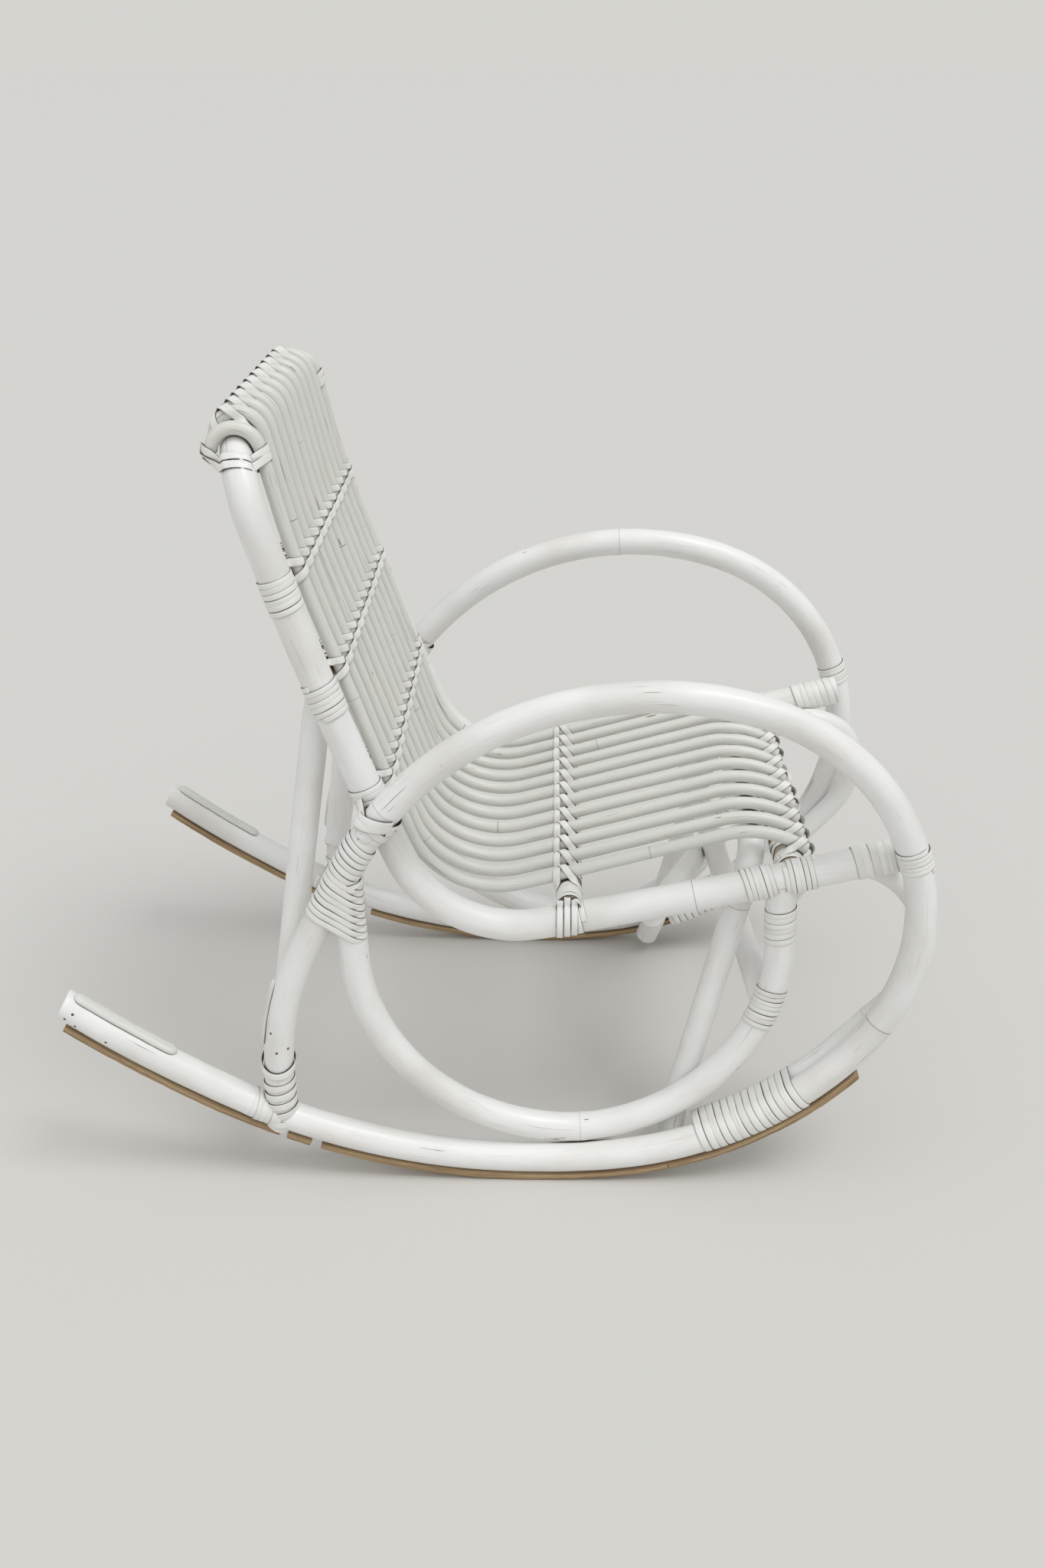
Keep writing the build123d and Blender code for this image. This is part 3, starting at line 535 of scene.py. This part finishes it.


def binding(made, bar, cane, crossing, along_bar, flip, draw, near_gap, spare):
    """The two strips that tie a cane to a bar: one slants over the other and meets it on one side.

    near_gap is half the length of bar that they take, and spare how much of each pole they may touch.
    """
    bar_place, _ = bar.nearest(crossing[None])
    foot = bar.at(bar_place)[0][0]
    up = unit(crossing - foot)
    along = unit(along_bar - up * (along_bar @ up))
    down = np.cross(up, along) * flip

    flank, top = bar.radius, np.linalg.norm(crossing - foot) + cane.radius

    def spot(a, d, u):
        return foot + along * a + down * d + up * u

    gap = near_gap * draw.uniform(0.92, 1.08)
    shift = draw.uniform(-1, 1) * MM
    slant = [
        (spot(-gap, 1.04 * flank, 0.15 * flank), True),
        (spot(-0.5 * gap, 0.5 * flank, top), False),
        (spot(0.5 * gap, -0.5 * flank, top), False),
        (spot(gap, -1.04 * flank, 0.15 * flank), True),
        (spot(0, -0.7 * flank, -flank), False),
        (spot(0, 0.7 * flank, -flank), False),
    ]
    steep = [
        (spot(-gap, -1.05 * flank, 0.1 * flank), True),
        (spot(-0.3 * gap, -0.7 * flank + shift, top), False),
        (spot(0.85 * gap, -0.05 * flank + shift, flank), True),
        (spot(1.25 * gap, 0.6 * flank, 0.8 * flank), False),
        (spot(1.3 * gap, flank, 0), True),
        (spot(0.4 * gap, 0.6 * flank, -flank), False),
        (spot(-0.4 * gap, -0.6 * flank, -flank), False),
    ]
    axes = bar.stretch(foot, spare), cane.stretch(crossing, spare)
    for controls, lift in ((steep, 0.0), (slant, 1.0 * PEEL)):
        held = [(axes[0], bar.radius + SLIT + lift * 0.5), (axes[1], cane.radius + SLIT + lift)]
        points, outs = tightened(controls, held)
        width = PEEL_WIDTH * draw.uniform(0.92, 1.08)
        ribbon(made, points, outs, width, draw, BINDING_GAP_SHADE_AND_BARE_EDGE, closed=True)


# ---------------------------------------------------------------- materials

class Shader:
    """Builds one node material."""

    def __init__(self, name):
        self.material = bpy.data.materials.new(name)
        self.material.use_nodes = True
        self.tree = self.material.node_tree
        self.surface = self.tree.nodes["Principled BSDF"]

    def add(self, kind, inputs=(), **settings):
        node = self.tree.nodes.new(kind)
        for key, value in settings.items():
            setattr(node, key, value)
        for key, value in dict(inputs).items():
            self.set(node.inputs[key], value)
        return node

    def set(self, socket, value):
        if isinstance(value, bpy.types.NodeSocket):
            self.tree.links.new(value, socket)
        else:
            socket.default_value = value

    def attribute(self, name):
        return self.add("ShaderNodeAttribute", attribute_name=name, attribute_type="GEOMETRY")

    def grain(self, scale, stretch):
        """Noise that runs along the piece, in features of 1 / scale metres across."""
        vector = self.attribute("grain").outputs["Vector"]
        mapped = self.add("ShaderNodeMapping", {"Vector": vector, "Scale": (1, 1, stretch)})
        noise = self.add("ShaderNodeTexNoise", {"Vector": mapped.outputs[0], "Scale": scale, "Detail": 4.0})
        return noise.outputs["Fac"]

    def between(self, value, low, high):
        """0 below low and 1 above high."""
        node = self.add("ShaderNodeMapRange", {"Value": value, "From Min": low, "From Max": high})
        return node.outputs[0]

    def maths(self, operation, a, b):
        return self.add("ShaderNodeMath", {0: a, 1: b}, operation=operation).outputs[0]

    def mix(self, share, a, b):
        node = self.add("ShaderNodeMix", data_type="RGBA")
        for name, value in (("Factor_Float", share), ("A_Color", a), ("B_Color", b)):
            socket = next(s for s in node.inputs if s.identifier == name)
            self.set(socket, value)
        return next(s for s in node.outputs if s.identifier == "Result_Color")

    def bump(self, height, strength, distance, normal=None):
        inputs = {"Height": height, "Strength": strength, "Distance": distance}
        if normal:
            inputs["Normal"] = normal
        return self.add("ShaderNodeBump", inputs).outputs[0]


def rgb(red, green, blue):
    """A colour given in sRGB from 0 to 255."""
    def linear(v):
        v /= 255
        return v / 12.92 if v <= 0.04045 else ((v + 0.055) / 1.055) ** 2.4
    return (linear(red), linear(green), linear(blue), 1.0)


PAINT = rgb(240, 240, 239)
CANE_PAINT = rgb(218, 219, 214)
PEEL_PAINT = rgb(238, 238, 235)
BAR_PAINT = rgb(168, 146, 112)
PAINT_WORN = rgb(222, 221, 216)
PAINT_WARM = rgb(228, 223, 212)
STREAK = rgb(160, 154, 144)
LINE = rgb(106, 88, 72)
BARE = rgb(128, 98, 68)
CRACK = rgb(74, 60, 50)
# Colour of the peel's edges: painted shade of the gaps between strips, over the peel's darker bare edges
GAP_SHADE_AND_BARE_EDGE = rgb(58, 47, 39)
# Colour of the painted shade and grime in creases
CREASE_SHADE_AND_GRIME = rgb(84, 70, 58)
CREASE_SHADE_REACH = 3.5 * MM           # how near another surface has to be for the painted crease shade and the grime to gather


def painted(name, paint, streaks, lines, chip_level, warmth, edge_mark, edge_mark_low, worn=1.0):
    """Gloss paint over rattan.

    It has worn and warm patches, streaks and fine lines along the grain, cracks, chips down to the
    bare pole, an edge-mark colour where the edge attribute is high (ring scars on the poles; on the
    peel's edges and a splint's base it is painted shade), and painted crease shade with grime, darker
    where ambient occlusion finds another surface near.
    """
    s = Shader(name)
    blotch = s.grain(14.0, 0.5)
    fine = s.grain(620.0, 0.035)
    fibre = s.grain(1500.0, 0.02)
    patch = s.grain(30.0, 0.4)
    colour = s.mix(s.maths("MULTIPLY", s.between(blotch, 0.45, 0.72), worn), paint, PAINT_WORN)
    colour = s.mix(s.maths("MULTIPLY", s.between(patch, 0.52, 0.72), warmth), colour, PAINT_WARM)
    streaked = s.maths("MULTIPLY", s.between(fine, 0.58, 0.78), s.between(patch, 0.4, 0.7))
    colour = s.mix(s.maths("MULTIPLY", streaked, streaks), colour, STREAK)
    lined = s.between(s.grain(850.0, 0.012), 0.64, 0.7)
    lined = s.maths("MULTIPLY", lined, s.between(s.grain(45.0, 0.25), 0.45, 0.6))
    colour = s.mix(s.maths("MULTIPLY", lined, lines), colour, LINE)
    cracked = s.between(s.grain(560.0, 0.02), 0.66, 0.69)
    cracked = s.maths("MULTIPLY", cracked, s.between(s.grain(11.0, 0.6), 0.54, 0.6))
    colour = s.mix(s.maths("MULTIPLY", cracked, 0.6), colour, CRACK)
    chips = s.between(s.grain(170.0, 0.16), chip_level, chip_level + 0.02)
    colour = s.mix(s.maths("MULTIPLY", chips, 0.9), colour, BARE)
    edge = s.between(s.attribute("edge").outputs["Fac"], edge_mark_low, 1.0)
    broken = s.maths("MULTIPLY", edge, s.between(s.grain(90.0, 0.5), 0.15, 0.4))
    colour = s.mix(broken, colour, edge_mark)
    # Painted shade: darker in random patches where ambient occlusion finds another surface near, for shade
    # and grime in creases
    occlusion = s.add("ShaderNodeAmbientOcclusion", {"Distance": CREASE_SHADE_REACH}, samples=4).outputs["AO"]
    crease_shade_and_grime = s.maths("MULTIPLY", s.between(occlusion, 0.66, 0.3), s.between(patch, 0.2, 0.45))
    colour = s.mix(crease_shade_and_grime, colour, CREASE_SHADE_AND_GRIME)
    s.set(s.surface.inputs["Base Color"], colour)
    rough = s.add("ShaderNodeMapRange", {"Value": blotch, "To Min": 0.3, "To Max": 0.46})
    s.set(s.surface.inputs["Roughness"], rough.outputs[0])
    normal = s.bump(fine, 0.25, 0.25 * MM)
    normal = s.bump(fibre, 0.15, 0.15 * MM, normal)
    normal = s.bump(s.grain(60.0, 0.5), 0.2, 0.8 * MM, normal)
    s.set(s.surface.inputs["Normal"], normal)
    return s.material


def worn_wood(name, light=rgb(190, 165, 126), middle=rgb(142, 115, 84), dark=rgb(98, 74, 52)):
    """Bare wood or rusted iron, in bands and fine lines of a darker colour."""
    s = Shader(name)
    bands = s.grain(260.0, 0.03)
    colour = s.mix(s.between(bands, 0.35, 0.68), light, middle)
    colour = s.mix(s.between(s.grain(1400.0, 0.02), 0.52, 0.75), colour, dark)
    colour = s.mix(s.between(s.grain(22.0, 0.3), 0.5, 0.8), colour, middle)
    s.set(s.surface.inputs["Base Color"], colour)
    s.surface.inputs["Roughness"].default_value = 0.62
    s.set(s.surface.inputs["Normal"], s.bump(bands, 0.5, 0.4 * MM))
    return s.material


pole_paint = painted(
    "painted_rattan", PAINT, streaks=0.3, lines=0.35, chip_level=0.745, warmth=0.2,
    edge_mark=CRACK, edge_mark_low=0.2,
)
# On a splint this paint's edge-mark colour, along its base, is a painted shadow line.
cane_paint = painted(
    "painted_cane", CANE_PAINT, streaks=0.6, lines=0.85, chip_level=0.72, warmth=0.35,
    edge_mark=CRACK, edge_mark_low=0.2,
)
bar_paint = painted(
    "worn_bar", BAR_PAINT, streaks=0.6, lines=0.8, chip_level=0.6, warmth=0.1,
    edge_mark=CRACK, edge_mark_low=0.2, worn=0.4,
)
# On the peel the edge-mark colour is painted shade of the gaps between strips, over their bare edges.
peel_paint = painted(
    "painted_peel", PEEL_PAINT, streaks=0.6, lines=0.5, chip_level=0.73, warmth=0.3,
    edge_mark=GAP_SHADE_AND_BARE_EDGE, edge_mark_low=0.02,
)
runner_wood = worn_wood("worn_runner_wood")


# ---------------------------------------------------------------- poles

SIDES = {"right": -1, "left": 1}
poles = {}
for side in SIDES:
    hoop = f"{side}_side_hoop"
    poles[hoop] = trace(hoop, extreme(hoop, Z, 1), Y, 12)
    loop = f"{side}_lower_loop"
    poles[loop] = trace(loop, extreme(loop, Z, -1), -Y, 10)
    brace = f"{side}_front_brace"
    poles[brace] = trace(brace, extreme(brace, Y, -1), Z, 6)
    cross = f"{side}_cross_brace"
    poles[cross] = trace(cross, middle_cut(cross, X, 0.0), X, 4)
for node in ("hoop_back_frame", "front_arch", "rear_arch"):
    poles[node] = trace(node, middle_cut(node, X, 0.0), X, 5)
BARS = ("upper_back_bar", "middle_back_bar", "lower_back_bar", "seat_bar", "seat_front_bar")
BAR_SEAT = 11 * MM          # how far the hollowed ends of a bar reach round the back frame
for node in BARS:
    poles[node] = lengthened(trace(node, middle_cut(node, X, 0.0), X, 4), BAR_SEAT)
canes = [f"seat_cane_{i}" for i in range(1, 13)]
CANE_CUT = 0.62             # height at which a cane is first cut
POLE_STEP = 5 * MM          # between the rings of vertices along a pole
for node in canes:
    poles[node] = trace(node, middle_cut(node, Z, CANE_CUT), -Z, 3)

for number, (node, pole) in enumerate(poles.items()):
    draw = random.Random(POLE_SEED + number)
    made = Made()
    thin = node in canes
    paint = cane_paint if thin else bar_paint if node in BARS else pole_paint
    around, spacing = (22, 0.45) if thin else (44, 0.8)
    rattan(made, pole, draw, around, POLE_STEP, spacing, dark_ends=node in BARS)
    made.piece(f"{node}_rattan", paint, "painted_pole", node)


# ---------------------------------------------------------------- lashings

SLOPE = 6 * MM              # how far the turns of the long rear wrap run down towards the front
SLING = 9 * MM              # how far the strips beside the foot hang down on the outside
LOOP_ALONE = (0.0, 0.13)    # share of the rear wrap's stretch on the loop that lies below the leg's
SLACK = {"right": 1.0, "left": 0.3}    # how much of its lean an arm joint's strip keeps

for number, (side, sign) in enumerate(SIDES.items()):
    hoop, loop = poles[f"{side}_side_hoop"], poles[f"{side}_lower_loop"]
    rocker, front, leg = hoop.part(0.0, 0.42), hoop.part(0.42, 0.7), hoop.part(0.8, 1.0)
    brace, back = poles[f"{side}_front_brace"], poles["hoop_back_frame"]
    draw = random.Random(LASHING_SEED + number)
    outward = sign * X
    slack = SLACK[side]

    def lash(label, *windings):
        """One lashing node's windings.

        Each is a dict: the pole, what it is wound with, the turns, and optionally the poles whose
        part of the node isn't this winding's, its share of the stretch, its lean and its layer.
        """
        node = f"{side}_{label}"
        made = Made()
        for w in windings:
            first, last = covered(w["pole"], node, w.get("apart", ()))
            low, high = (first + share * (last - first) for share in w.get("span", (0, 1)))
            others = w.get("others", [])
            wind(made, w["pole"], others, low, high, w["turns"], draw, w.get("lean"), w.get("layer", 0))
        made.piece(f"{node}_peel", peel_paint, "peel", node)

    lash("upper_post_wrap", dict(pole=back, turns=6))
    lash("middle_post_wrap", dict(pole=back, turns=6))
    lash("seat_rail_wrap", dict(pole=back, turns=5))
    lash(
        "front_rail_wrap",
        dict(pole=back, turns=6, span=(0, 0.47)),
        dict(pole=back, turns=6, span=(0.53, 1)),
    )
    lash("front_joint_lashing", dict(pole=back, turns=6), dict(pole=front, turns=5))
    lash("loop_top_wrap", dict(pole=loop, turns=6))
    lash("cross_brace_wrap", dict(pole=loop, turns=8, lean=outward * 3 * MM))
    lash("rocker_wrap", dict(pole=rocker, others=[brace], turns=14))
    lash(
        "foot_lashing",
        dict(pole=leg, turns=5, apart=[rocker], span=(0.1, 1)),
        dict(pole=leg, turns=1, apart=[rocker], span=(-0.12, 0.1), lean=outward * SLING, layer=1),
        dict(pole=rocker, turns=5, apart=[leg], lean=outward * 3 * MM),
    )
    # On the left a winding round post and leg would stick out as a spike, so the post has it alone.
    joined = [leg] if side == "right" else []
    lash(
        "arm_joint_lashing",
        dict(pole=back, turns=5, span=(0.3, 1.1)),
        dict(pole=leg, turns=3, span=(0.55, 1)),
        dict(pole=back, others=joined, turns=2, span=(0.1, 0.45)),
        dict(pole=leg, others=[back], turns=1, span=(0.6, 0.9), lean=-Y * 8 * MM * slack, layer=1),
        dict(pole=leg, turns=2, span=(0.35, 0.85), lean=Y * 12 * MM * slack, layer=2),
    )
    lash(
        "rear_joint_wrap",
        dict(pole=leg, others=[loop], turns=14, lean=-Y * SLOPE),
        dict(pole=loop, turns=2, apart=[leg], span=LOOP_ALONE, lean=outward * 2 * MM),
    )


# ---------------------------------------------------------------- strips on the rockers and legs

def laid_on(made, pole, points, draw, profile, taper, blunt):
    """A strip laid along a pole where one of its CAD solids lies."""
    places, _ = pole.nearest(points)
    first, last = places.min(), places.max()
    ends = taper * np.array([0.02, 0.08, 0.2, 0.4, 0.7])
    run = np.linspace(first, last, max(8, round((last - first) / (6 * MM))))
    run = np.unique(np.concatenate([run, first + ends, last - ends]))
    centre, way, _, _ = pole.at(run)
    out = unit(np.cross(way, X))
    middle = pole.at(np.median(places))[0][0]
    facing = out[len(out) // 2] @ (points.mean(axis=0) - middle)
    out = out * np.sign(facing)
    width = np.ptp(points[:, 0])
    beside = np.argmin(np.abs(run[None] - places[:, None]), axis=1)
    thickness = np.sum((points - centre[beside]) * out[beside], axis=1).max() - pole.radius
    bed = centre + out * (pole.radius + SLIT)
    plank(made, bed, out, width, thickness, draw, profile, taper, blunt)


STRIPS = ("rear_runner_strip", "middle_runner_strip", "front_runner_strip", "tail_splint", "leg_splint")
SPLINT_TAPER, SPLINT_BLUNT = 9 * MM, 0.1        # length of a rounded end, and how wide its tip is
RUNNER_TAPER, RUNNER_BLUNT = 1.5 * MM, 0.85

for number, side in enumerate(SIDES):
    hoop = poles[f"{side}_side_hoop"]
    for k, label in enumerate(STRIPS):
        node = f"{side}_{label}"
        draw = random.Random(STRIP_SEED + 10 * number + k)
        made = Made()
        splint = label.endswith("splint")
        pole = hoop.part(0.8, 1.0) if label == "leg_splint" else hoop.part(0.0, 0.5)
        for points in islands(node):
            if splint:
                laid_on(made, pole, points, draw, HALF_ROUND, SPLINT_TAPER, SPLINT_BLUNT)
            else:
                laid_on(made, pole, points, draw, PLANK, RUNNER_TAPER, RUNNER_BLUNT)
        if splint:
            made.piece(f"{node}_cane", cane_paint, "painted_splint", node)
        else:
            made.piece(f"{node}_wood", runner_wood, "runner_wood", node)


# ---------------------------------------------------------------- bindings of the canes

BAR_HOLD, RAIL_HOLD = 12.5 * MM, 15 * MM    # half the length of bar or top rail that a binding takes
BAR_SPARE, RAIL_SPARE = 45 * MM, 70 * MM    # how far round a crossing a strip may touch its poles
PAST_END = 12 * MM          # how far a bar's axis is carried on for the winding of its end
# That winding's start, outwards from the outermost cane's middle, its length and its turns
BAR_ENDS = {"seat_bar": (7 * MM, 37 * MM, 5), "seat_front_bar": (-5 * MM, 29 * MM, 4)}
END_LEAN = 2 * MM           # how far its upper side is shifted along the bar
END_STRIPS = (9.5 * MM, 1.5 * MM, -6.5 * MM)    # how far behind the bar's middle each strip over its end is
END_STRIP_WIDTH = 7.2 * MM
END_STRIP_ROUND = (-80, 68)     # degrees over level at which it leaves and ends its way round the rail
FACE_STEPS = 6                  # points up the end face
HOOK_TIE = -1.5 * MM        # height of the lower hook strap's middle over the hook's end
BEND_TIE = 13 * MM          # how far outside that cane the strap goes round the frame's bend
BEND_TURN = (60, 30, 0, -30, -60)   # degrees towards the rear at which it is pinned there
TIE_SLANT = 0.45            # how far to the rear of the top the top rail's bindings cross, as a slope


def end_strip(made, bar, sign, shift, draw):
    """An open strip from under the seat rail up its outer side and over a bar's end face."""
    rail, outward = poles["hoop_back_frame"], X * sign
    end = bar.points[0] if sign < 0 else bar.points[-1]
    foot = rail.at(rail.nearest((end + Y * shift)[None])[0])[0][0]
    foot = foot + Y * (end[1] + shift - foot[1])
    turn = np.radians(np.linspace(*END_STRIP_ROUND, 30))[:, None]
    around = outward * np.cos(turn) + Z * np.sin(turn)
    points = foot + around * (rail.radius + 1.2 * PEEL)
    rise = end[2] + math.sqrt(bar.radius ** 2 - shift ** 2) - 0.3 * MM
    heights = np.linspace(points[-1][2] + 1.5 * MM, rise, FACE_STEPS)
    beyond = np.full(FACE_STEPS, end[0] + sign * 0.5 * MM)
    face = np.column_stack([beyond, np.full(FACE_STEPS, points[-1][1]), heights])
    outs = np.vstack([around, np.repeat(outward[None], FACE_STEPS, axis=0)])
    ribbon(made, np.vstack([points, face]), outs, END_STRIP_WIDTH, draw)


for number, name in enumerate(BARS):
    bar = poles[name]
    made = Made()
    draw = random.Random(BINDING_SEED + number)
    flip = 1 if name == "seat_front_bar" else -1
    for node in canes:
        cane = poles[node]
        _, gaps = bar.nearest(cane.points)
        crossing = cane.points[np.argmin(gaps)]
        binding(made, bar, cane, crossing, X, flip, draw, BAR_HOLD, BAR_SPARE)
    if name in BAR_ENDS:
        start, reach, turns = BAR_ENDS[name]
        wound = lengthened(bar, PAST_END)
        for cane, sign in ((poles[canes[0]], -1), (poles[canes[-1]], 1)):
            beside = cane.nearest(bar.points)[1].argmin()
            inner = wound.where(X, bar.points[beside][0] + sign * start)
            wind(made, wound, [], inner + sign * reach, inner, turns, draw, lean=Z * END_LEAN)
            if name == "seat_bar":
                for shift in END_STRIPS:
                    end_strip(made, bar, sign, shift, draw)
    made.piece(f"{name}_binding", peel_paint, "peel")


def hook_strap(made, half, cane, rise, draw):
    """A strip drawn round the bend above a post and both legs of the hook beside it."""
    outward = X * np.sign(cane.points[0][0])
    front = cane.part(0.05, 0.5)
    behind = cane.points[0] + Y * (cane.radius + PEEL) + Z * (HOOK_TIE + rise)
    ahead = front.at(front.where(Z, behind[2]))[0][0] - Y * (cane.radius + PEEL)
    place = half.where(outward, behind @ outward + BEND_TIE - 0.7 * rise)
    bend, way, _, _ = (value[0] for value in half.at(place))
    square = unit(outward - way * (outward @ way))
    beside = [
        (bend + (square * math.cos(turn) + Y * math.sin(turn)) * (half.radius + 0.3 * PEEL), True)
        for turn in np.radians(BEND_TURN)
    ]
    under = (behind + ahead) / 2 - outward * 2 * cane.radius - Z * 2 * half.radius
    controls = [(behind, True), *beside, (ahead, True), (under, False)]
    held = [
        (half.stretch(bend, RAIL_SPARE), half.radius),
        (cane.stretch(behind, RAIL_SPARE), cane.radius),
    ]
    points, outs = tightened(controls, held)
    ribbon(made, points, outs, PEEL_WIDTH, draw, closed=True)


def top_ties():
    """The strips that tie the hooks of the canes to the top rail, and the outermost to its bends."""
    rail = poles["hoop_back_frame"]
    made, draw = Made(), random.Random(TIE_SEED)
    for node in canes[1:-1]:
        cane = poles[node]
        places, gaps = rail.nearest(cane.points)
        held = np.flatnonzero(gaps < rail.radius + cane.radius + 3 * MM)
        feet = rail.at(places[held])[0]
        crossing = cane.points[held[np.argmax((cane.points[held] - feet) @ (Z + TIE_SLANT * Y))]]
        binding(made, rail, cane, crossing, X, -1, draw, RAIL_HOLD, RAIL_SPARE)
    for half, node in ((rail.part(0.0, 0.5), canes[0]), (rail.part(0.5, 1.0), canes[-1])):
        for rise in (0.0, PEEL_WIDTH):
            hook_strap(made, half, poles[node], HOOK_TIE + rise, draw)
    made.piece("top_rail_ties", peel_paint, "peel")


top_ties()


# ---------------------------------------------------------------- nails

NAIL = 1.7 * MM             # radius of a nail's head
# mm above the foot, and how far round to the rear
LEG_NAILS = ((137, 0.6), (113, 0.0), (118, -0.95))
# mm from the tail, and how far round to the top
TAIL_NAILS = ((14, 0.45), (10, -0.35), (24, -0.5), (62, -0.3))


def nail(made, pole, place, facing):
    """A small domed head on a pole's surface, on the side that it faces."""
    point, way, _, _ = (value[0] for value in pole.at(place))
    out = unit(facing - way * (facing @ way))
    across = np.cross(out, way)
    turn = np.linspace(0, 2 * math.pi, 12, endpoint=False)[:, None]
    rim = math.sqrt(pole.radius ** 2 - NAIL ** 2)
    rings = []
    for size, rise in ((1.0, -0.4 * MM), (0.95, 0.3 * MM), (0.6, 0.7 * MM), (0.1, 0.9 * MM)):
        ring = way * np.cos(turn) + across * np.sin(turn)
        rings.append(point + out * (rim + rise) + ring * NAIL * size)
    count = len(turn)
    points = np.vstack(rings)
    faces = tube_faces(len(rings), count, made.count)
    made.add(points, faces, points - point, np.zeros(len(points)))


nail_iron = worn_wood("rusted_nail", rgb(120, 104, 90), rgb(78, 64, 54), rgb(48, 38, 32))
for side, sign in SIDES.items():
    made = Made()
    hoop = poles[f"{side}_side_hoop"]
    for height, rear in LEG_NAILS:
        nail(made, hoop, hoop.length - height * MM, sign * X + rear * Y)
    for place, raised in TAIL_NAILS:
        nail(made, hoop, place * MM, sign * X + raised * Z)
    made.piece(f"{side}_nails", nail_iron, "runner_wood")


# ---------------------------------------------------------------- stage, light and camera

CAMERA_PLACE = Vector((-1.6787, -0.05986, 1.1931))
CAMERA_YAW, CAMERA_TILT = math.radians(1.082), math.radians(-25.84)
FLOOR_SIZE = 200.0
FLOOR_COLOUR = rgb(212, 211, 207)
BACKDROP = rgb(213, 212, 208)


def stage():
    """A pale floor."""
    mesh = bpy.data.meshes.new("floor")
    half = FLOOR_SIZE / 2
    corners = [(-half, -half, 0), (half, -half, 0), (half, half, 0), (-half, half, 0)]
    mesh.from_pydata(corners, [], [(0, 1, 2, 3)])
    floor = bpy.data.objects.new("floor", mesh)
    bpy.context.scene.collection.objects.link(floor)
    s = Shader("pale_floor")
    s.surface.inputs["Base Color"].default_value = FLOOR_COLOUR
    s.surface.inputs["Roughness"].default_value = 0.85
    mesh.materials.append(s.material)


def sun(name, way, spread, strength):
    """A wide soft light from the same way everywhere, spread over an angle in degrees."""
    light = bpy.data.lights.new(name, "SUN")
    light.angle, light.energy = math.radians(spread), strength
    lamp = bpy.data.objects.new(name, light)
    bpy.context.scene.collection.objects.link(lamp)
    lamp.rotation_euler = Vector(way).to_track_quat("-Z", "Y").to_euler()


def world(strength):
    """Even light from all round, seen by the camera as the backdrop's colour."""
    sky = bpy.data.worlds.new("studio")
    sky.use_nodes = True
    nodes, links = sky.node_tree.nodes, sky.node_tree.links
    light = nodes["Background"]
    light.inputs["Color"].default_value = (1.0, 1.0, 1.0, 1.0)
    light.inputs["Strength"].default_value = strength
    seen = nodes.new("ShaderNodeBackground")
    seen.inputs["Color"].default_value = BACKDROP
    path = nodes.new("ShaderNodeLightPath")
    mix = nodes.new("ShaderNodeMixShader")
    links.new(path.outputs["Is Camera Ray"], mix.inputs[0])
    links.new(light.outputs[0], mix.inputs[1])
    links.new(seen.outputs[0], mix.inputs[2])
    links.new(mix.outputs[0], nodes["World Output"].inputs["Surface"])
    bpy.context.scene.world = sky


stage()
world(strength=0.52)
sun("key", (0.25, 0.45, -1.0), spread=24, strength=1.0)
sun("fill", (0.6, -0.1, -1.0), spread=80, strength=0.75)

camera = bpy.data.objects.new("camera", bpy.data.cameras.new("camera"))
bpy.context.scene.collection.objects.link(camera)
camera.data.lens, camera.data.sensor_width = 35.0, 36.0
camera.location = CAMERA_PLACE
view_way = Vector((
    math.cos(CAMERA_TILT) * math.cos(CAMERA_YAW),
    math.cos(CAMERA_TILT) * math.sin(CAMERA_YAW),
    math.sin(CAMERA_TILT),
))
camera.rotation_euler = view_way.to_track_quat("-Z", "Y").to_euler()
bpy.context.scene.camera = camera
bpy.context.scene.view_settings.view_transform = "Standard"
